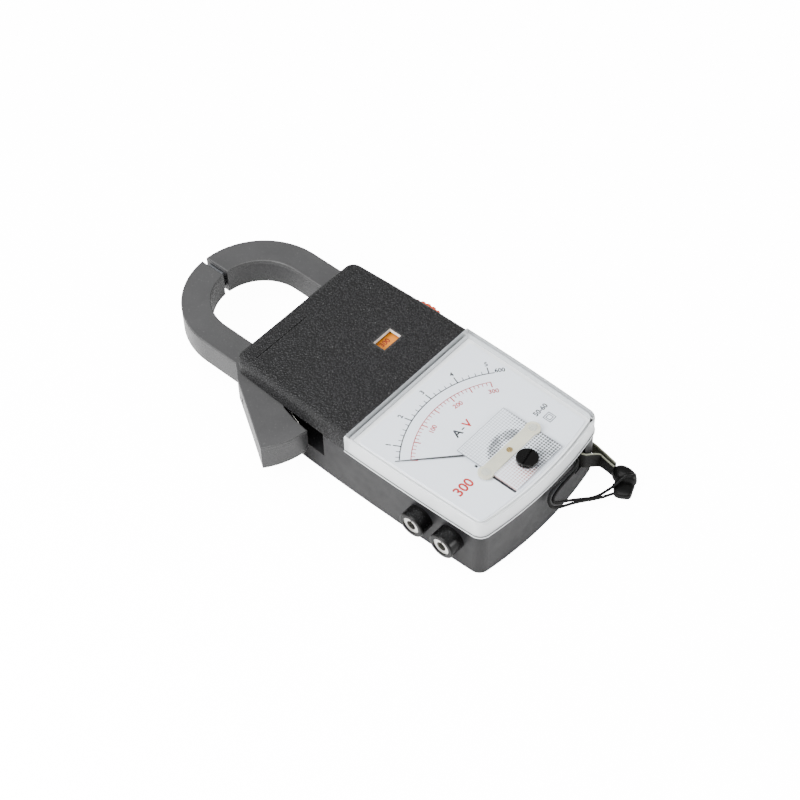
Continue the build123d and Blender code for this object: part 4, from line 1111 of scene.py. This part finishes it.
def make_clasp():
    """Moulded clasp: a round hood, a pressed strip across it and a flared tail."""
    built = bmesh.new()
    hood = ((32.4, -72.6), (34.4, -71.6), (36.8, -72.4), (38.2, -75.2), (38.3, -78.6), (37.2, -81.4),
            (35.4, -82.6),
            (33.6, -82.0), (32.2, -79.6), (31.2, -77.2), (31.0, -74.6))
    add_dome(built, hood, (34.6, -77.2), ((1.6, 0.80), (2.2, 0.98), (4.0, 1.0), (5.8, 0.92), (7.0, 0.66),
                                          (7.4, 0.3)))
    tail = ((30.6, -74.6), (34.6, -76.0), (36.8, -80.0), (36.0, -81.8), (33.0, -82.6), (30.4, -84.0),
            (28.8, -83.8),
            (27.0, -80.8), (26.4, -78.8), (27.0, -78.0), (28.8, -76.6))
    add_dome(built, tail, (31.8, -79.4), ((0.25, 0.92), (0.5, 1.0), (2.4, 1.0), (3.1, 0.92), (3.3, 0.5)))
    strip = read_line(in_metres(((28.3, -76.7, 4.0), (30.4, -77.4, 5.2), (33.0, -78.5, 7.3),
                                 (35.6, -79.7, 6.9),
                                 (37.0, -80.3, 5.2))))
    add_tube(built, strip, lambda far, angle: (0.55 + 0.25 * abs(sin(angle))) * MM, around=12)
    piece = add_piece("strap_clasp_body", built, clasp_plastic(), "case")
    smooth = piece.modifiers.new("round", "SUBSURF")
    smooth.levels = 2
    smooth.render_levels = 2
    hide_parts("strap_clasp")
    return piece


def make_strap():
    """Band, clasp and the two strands of cord."""
    strap = look("clamp_meter_strap")
    band = make_band()
    clasp = make_clasp()
    for name, route, node_name, others in (
            ("strap_cord_outer", CORD_ROUTE_A, "strap_cord_a", [clasp, band]),
            ("strap_cord_inner", CORD_ROUTE_B, "strap_cord_b", [])):
        piece, line = make_cord(name, route, node_name)


# ---------------------------------------------------------------- dial
DIAL_CENTRE = Vector((-1.0, -53.5)) * MM
SCALE_START = radians(130.1)
SCALE_END = radians(50.5)
INK = 0.02 * MM
FINE = 0.30 * MM
BOLD = 0.46 * MM
SQUARES_CENTRE = (22.6, -49.6)
SQUARES_HALF = (1.7, 1.0)
RULE = 0.14


def on_arc(radius, angle):
    """A point on the dial at a distance and an angle from the needle's axis."""
    return DIAL_CENTRE.x + radius * cos(angle), DIAL_CENTRE.y + radius * sin(angle)


def print_scale(built, radius, line, start, end, angles, sense, tick, numbers, reach, low, high):
    """One scale: its line, its divisions and its numbers."""
    add_arc(built, DIAL_CENTRE, radius, line, start, end, low, high)
    for angle, major in angles:
        length_out = tick[1 if major else 0] * MM
        ends = sorted((radius, radius + sense * length_out))
        add_ray(built, DIAL_CENTRE, ends[0], ends[1], angle, (BOLD if major else FINE), low, high)
    for words, angle, height in numbers:
        add_text(built, words, on_arc(radius + sense * reach, angle), height, angle - pi / 2, low, high)


def make_dial_print():
    """Two scale arcs with their divisions and numbers, the unit letters and the plain marks."""
    dial = look("clamp_meter_dial")
    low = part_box("dial_plate")[1].z
    high = low + INK
    black, red = bmesh.new(), bmesh.new()

    step = radians(3.4)
    first = radians(121.5)
    divisions = [(first - step * k, k % 5 == 0) for k in range(-2, 21)]
    numbers = [(str(k + 1), first - step * 5 * k, 2.1 * MM) for k in range(5)]
    print_scale(black, dial.outer_radius, 0.44 * MM, SCALE_START, SCALE_END, divisions, 1, (1.5, 3.0),
                numbers, 4.6 * MM, low, high)
    red_end = radians(54.1)
    red_step = (red_end - SCALE_START) / 30
    divisions = [(SCALE_START + red_step * k, k % 5 == 0) for k in range(31)]
    numbers = [(str(k * 10), SCALE_START + red_step * k, 2.0 * MM) for k in (10, 20, 30)]
    print_scale(red, dial.inner_radius, 0.34 * MM, SCALE_START, red_end, divisions, -1, (1.5, 2.6),
                numbers, 4.6 * MM, low, high)
    add_text(black, "600", (28.2 * MM, -21.4 * MM), 2.0 * MM, radians(-40), low, high)

    add_text(black, "A", (-5.2 * MM, -28.9 * MM), 3.6 * MM, 0, low, high)
    add_bar(black, (-2.9, -1.5), (-29.3, -28.8), low, high)
    add_text(red, "V", (0.6 * MM, -28.9 * MM), 3.6 * MM, 0, low, high)
    # Black bar, 1 mm wide and 11 mm long, along the left edge of the screen area.
    add_bar(black, (-12.6, -11.6), (-62.0, -50.8), low, high)
    add_bar(black, (-12.9, -11.9), (-44.4, -43.2), low, high)
    add_text(red, "300", (-22.6 * MM, -46.6 * MM), 4.2 * MM, 0, low, high)
    add_text(black, "50-60", (23.1 * MM, -45.0 * MM), 2.2 * MM, 0, low, high)
    x, y = SQUARES_CENTRE
    for half in SQUARES_HALF:
        for side in (-half, half):
            add_bar(black, (x + side - RULE, x + side + RULE), (y - half - RULE, y + half + RULE), low,
                    high)
            add_bar(black, (x - half, x + half), (y + side - RULE, y + side + RULE), low, high)
    add_piece("dial_print_black", black, black_ink(), "case", smooth=False)
    add_piece("dial_print_red", red, red_ink(), "case", smooth=False)


# ---------------------------------------------------------------- range wheel
WHEEL_CENTRE = Vector((20.0, 19.3)) * MM
WINDOW_ANGLE = radians(173.0)
DIGIT_RADIUS = 9.6 * MM
RING_INNER, RING_OUTER = 4.3 * MM, 14.4 * MM
RING_THICKNESS = 0.06 * MM
ALMOST_ROUND = tau - 0.001
RANGES = ("300", "150", "60", "15", "6", "600", "300", "150", "75", "0")


def make_range_labels():
    """Amber label ring with a number at each step."""
    choice = look("clamp_meter_range")
    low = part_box("range_wheel")[1].z
    high = low + RING_THICKNESS
    ring = bmesh.new()
    middle, width = (RING_INNER + RING_OUTER) / 2, RING_OUTER - RING_INNER
    add_arc(ring, WHEEL_CENTRE, middle, width, 0, ALMOST_ROUND, low, high, steps=96)
    add_piece("range_label_ring", ring, amber_label(), "range_wheel", smooth=False)
    digits = bmesh.new()
    for k, words in enumerate(RANGES):
        turn = tau * k / choice.steps
        angle = WINDOW_ANGLE + turn
        place = WHEEL_CENTRE + Vector((cos(angle), sin(angle))) * DIGIT_RADIUS
        add_text(digits, words, place, choice.digit_height, turn, high, high + INK)
    add_piece("range_label_digits", digits, label_digits(), "range_wheel", smooth=False)


# ---------------------------------------------------------------- jaw spring and winding
def make_jaw_spring():
    """Torsion spring: round wire in a close helix, with a leg on the trigger and one on the wall."""
    pivot = Vector((-26.0, 40.0, 0))
    coil_radius, wire, pitch, turns, floor = 3.6, 0.9, 0.95, 4, 15.2
    points = [Vector((-21.6, 25.5, floor)), Vector((-21.9, 31.5, floor)), Vector((-22.3, 37.6, floor))]
    per_turn = 12
    for k in range(turns * per_turn + 6):
        angle = tau * k / per_turn
        radius = coil_radius / cos(pi / per_turn)
        points.append(pivot + Vector((radius * cos(angle), radius * sin(angle),
                                      floor + pitch * k / per_turn)))
    top = points[-1].z
    points += [Vector((-30.6, 36.6, top)), Vector((-32.4, 30.5, top)), Vector((-35.2, 22.0, top))]
    built = bmesh.new()
    add_tube(built, read_line(in_metres(points)), lambda far, angle: wire / 2 * MM, around=12)
    piece = add_piece("jaw_spring_wire", built, spring_steel())
    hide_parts("jaw_spring")
    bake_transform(piece)


WIRE = 0.42 * MM
CORE_HOLE_Y = (45.3 * MM, 53.7 * MM)
CORE_HOLE_LOW = 12.7 * MM
CORE_CLEARANCE = 0.7 * MM


def make_winding():
    """Enamelled wire wound in even turns over the former."""
    low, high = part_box("secondary_winding")
    wire = WIRE
    inset = wire / 2
    turns = int((high.x - low.x) / wire) - 1
    corner = 1.4 * MM
    built = bmesh.new()
    points = []
    y0, y1, z0, z1 = low.y + inset, high.y - inset, low.z + inset, high.z - inset
    lap = ((y0, z0 + corner), (y0, z1 - corner), (y0 + corner, z1), (y1 - corner, z1),
           (y1, z1 - corner), (y1, z0 + corner), (y1 - corner, z0), (y0 + corner, z0))
    for turn in range(turns):
        for k, (y, z) in enumerate(lap):
            points.append(Vector((low.x + wire * (0.7 + turn + k / len(lap)), y, z)))
    add_tube(built, points, lambda far, angle: wire / 2, around=8)
    piece = add_piece("winding_turns", built, enamelled_copper(), "case")
    former = bmesh.new()
    add_winding_core(former, low, high, wire)
    add_piece("winding_layers", former, enamelled_copper(), "case")
    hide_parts("secondary_winding")


def add_winding_core(built, low, high, wire):
    """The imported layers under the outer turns."""
    step = wire * 0.9
    outline = ((low.y + step, low.z + step), (high.y - step, low.z + step), (high.y - step, high.z - step),
               (low.y + step, high.z - step))
    y0, y1 = CORE_HOLE_Y
    z0, z1 = CORE_HOLE_LOW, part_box("fixed_core")[1].z + CORE_CLEARANCE
    hole = ((y0, z0), (y1, z0), (y1, z1), (y0, z1))
    rings = []
    for x in (low.x + wire / 2, high.x - wire / 2):
        rings.append(([built.verts.new((x, y, z)) for y, z in outline],
                      [built.verts.new((x, y, z)) for y, z in hole]))
    for k in range(4):
        after = (k + 1) % 4
        (out0, in0), (out1, in1) = rings
        built.faces.new((out0[k], out0[after], out1[after], out1[k]))
        built.faces.new((in0[after], in0[k], in1[k], in1[after]))
        built.faces.new((out0[after], out0[k], in0[k], in0[after]))
        built.faces.new((out1[k], out1[after], in1[after], in1[k]))


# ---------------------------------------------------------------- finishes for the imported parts
CASE_FINISHES = (
    ("back_case", satin_case_plastic), ("top_cover", grained_cover_plastic), ("back_label", label_foil),
    ("case_screws", zinc_screw_steel),
)
JAW_FINISHES = (
    ("moving_jaw_shell", jaw_shell_painted_shade_plastic), ("moving_jaw_lid", jaw_plastic), ("fixed_jaw_shell",
                                                                               jaw_shell_painted_shade_plastic),
    ("fixed_jaw_lid", jaw_plastic), ("moving_core", laminated_core_steel), ("fixed_core",
                                                                            laminated_core_steel),
    ("coil_bobbin", bobbin_nylon), ("pivot_pin", zinc_screw_steel), ("pivot_bush", turned_brass),
)
LENS_FINISHES = (("range_window", window_plastic),)
RANGE_FINISHES = (
    ("range_wheel", wheel_plastic), ("range_axle", zinc_screw_steel), ("range_wiper", turned_brass),
    ("range_contacts", turned_brass), ("detent_spring", spring_steel), ("circuit_board", board_laminate),
    ("resistors", resistor_lacquer), ("rectifier_diodes", diode_glass), ("trimmer", trimmer_plastic),
)
DIAL_FINISHES = (
    ("dial_plate", dial_enamel), ("dial_surround", surround_enamel), ("movement_screen", screen_print),
    ("dial_brackets", turned_brass),
)
MOVEMENT_FINISHES = (
    ("movement_frame", die_cast_zinc), ("movement_yoke", laminated_core_steel), ("movement_magnet",
                                                                                 magnet_alloy),
    ("moving_coil", enamelled_copper), ("coil_spindle", spring_steel), ("needle", needle_lacquer),
    ("hairspring", turned_brass), ("upper_bridge", natural_nylon), ("jewel_screws", turned_brass),
    ("bridge_screws", pale_plate), ("zero_adjuster", knob_plastic), ("zero_lever", turned_brass),
)
JACK_FINISHES = (
    ("jack_collar_1", knob_plastic), ("jack_collar_2", knob_plastic), ("jack_socket_1", bright_nickel),
    ("jack_socket_2", bright_nickel), ("jack_nuts", turned_brass),
)
LEAD_FINISHES = (("jack_leads", lead_sleeve), ("winding_leads", lead_sleeve),
                 ("movement_leads", lead_sleeve))


def dress_all(finishes):
    """Give each listed part its finish."""
    for node_name, maker in finishes:
        dress(node_name, maker())


# ---------------------------------------------------------------- operators
class CLAMPMETER_OT_stage(bpy.types.Operator):
    """Make the camera, the lamps and the floor"""
    bl_idname = "clamp_meter.stage"
    bl_label = "Stage"

    def execute(self, context):
        make_camera()
        make_lamps()
        make_floor()
        return {"FINISHED"}


class CLAMPMETER_OT_strap(bpy.types.Operator):
    """Make the wrist strap: band, clasp and cord"""
    bl_idname = "clamp_meter.strap"
    bl_label = "Wrist strap"

    def execute(self, context):
        make_strap()
        return {"FINISHED"}


class CLAMPMETER_OT_case(bpy.types.Operator):
    """Finish the case, the cover, the rating plate and the screws"""
    bl_idname = "clamp_meter.case"
    bl_label = "Case and cover"

    def execute(self, context):
        dress_all(CASE_FINISHES)
        return {"FINISHED"}


class CLAMPMETER_OT_jaws(bpy.types.Operator):
    """Finish the jaws, their cores and pivot, and make the spring and the winding"""
    bl_idname = "clamp_meter.jaws"
    bl_label = "Jaws"

    def execute(self, context):
        dress_all(JAW_FINISHES)
        make_jaw_spring()
        make_winding()
        return {"FINISHED"}


class CLAMPMETER_OT_lens(bpy.types.Operator):
    """Finish the clear lens and the range window"""
    bl_idname = "clamp_meter.lens"
    bl_label = "Lens and window"

    def execute(self, context):
        dress_lens()
        dress_all(LENS_FINISHES)
        return {"FINISHED"}


class CLAMPMETER_OT_range(bpy.types.Operator):
    """Finish the range switch and its board, and print the range labels"""
    bl_idname = "clamp_meter.range_switch"
    bl_label = "Range switch"

    def execute(self, context):
        dress_all(RANGE_FINISHES)
        make_range_labels()
        return {"FINISHED"}


class CLAMPMETER_OT_dial(bpy.types.Operator):
    """Finish the dial and print its scales"""
    bl_idname = "clamp_meter.dial"
    bl_label = "Dial"

    def execute(self, context):
        dress_all(DIAL_FINISHES)
        make_dial_print()
        return {"FINISHED"}


class CLAMPMETER_OT_movement(bpy.types.Operator):
    """Finish the needle movement and its zero adjuster"""
    bl_idname = "clamp_meter.movement"
    bl_label = "Movement"

    def execute(self, context):
        dress_all(MOVEMENT_FINISHES)
        return {"FINISHED"}


class CLAMPMETER_OT_jacks(bpy.types.Operator):
    """Finish the two test jacks and the inner leads"""
    bl_idname = "clamp_meter.jacks"
    bl_label = "Jacks and leads"

    def execute(self, context):
        dress_all(JACK_FINISHES)
        dress_all(LEAD_FINISHES)
        return {"FINISHED"}


OPERATORS = (CLAMPMETER_OT_stage, CLAMPMETER_OT_strap, CLAMPMETER_OT_case, CLAMPMETER_OT_jaws,
             CLAMPMETER_OT_lens,
             CLAMPMETER_OT_range, CLAMPMETER_OT_dial, CLAMPMETER_OT_movement, CLAMPMETER_OT_jacks)


class CLAMPMETER_PT_panel(bpy.types.Panel):
    """Sidebar list of the clamp meter's pieces and settings"""
    bl_label = "Clamp Meter"
    bl_idname = "CLAMPMETER_PT_panel"
    bl_space_type = "VIEW_3D"
    bl_region_type = "UI"
    bl_category = "Clamp Meter"

    def draw(self, context):
        for name, group in SETTINGS.items():
            box = self.layout.box()
            for key in group.__annotations__:
                box.prop(getattr(context.scene, name), key)
        for operator in OPERATORS:
            self.layout.operator(operator.bl_idname)


def register():
    for kind in (*SETTINGS.values(), *OPERATORS, CLAMPMETER_PT_panel):
        bpy.utils.register_class(kind)
    for name, group in SETTINGS.items():
        setattr(bpy.types.Scene, name, PointerProperty(type=group))


def unregister():
    for name in SETTINGS:
        delattr(bpy.types.Scene, name)
    for kind in (CLAMPMETER_PT_panel, *OPERATORS[::-1], *SETTINGS.values()):
        bpy.utils.unregister_class(kind)


def main():
    """Make everything in order."""
    register()
    bpy.ops.clamp_meter.stage()
    bpy.ops.clamp_meter.strap()
    bpy.ops.clamp_meter.case()
    bpy.ops.clamp_meter.jaws()
    bpy.ops.clamp_meter.lens()
    bpy.ops.clamp_meter.range_switch()
    bpy.ops.clamp_meter.dial()
    bpy.ops.clamp_meter.movement()
    bpy.ops.clamp_meter.jacks()


if __name__ == "__main__":
    main()
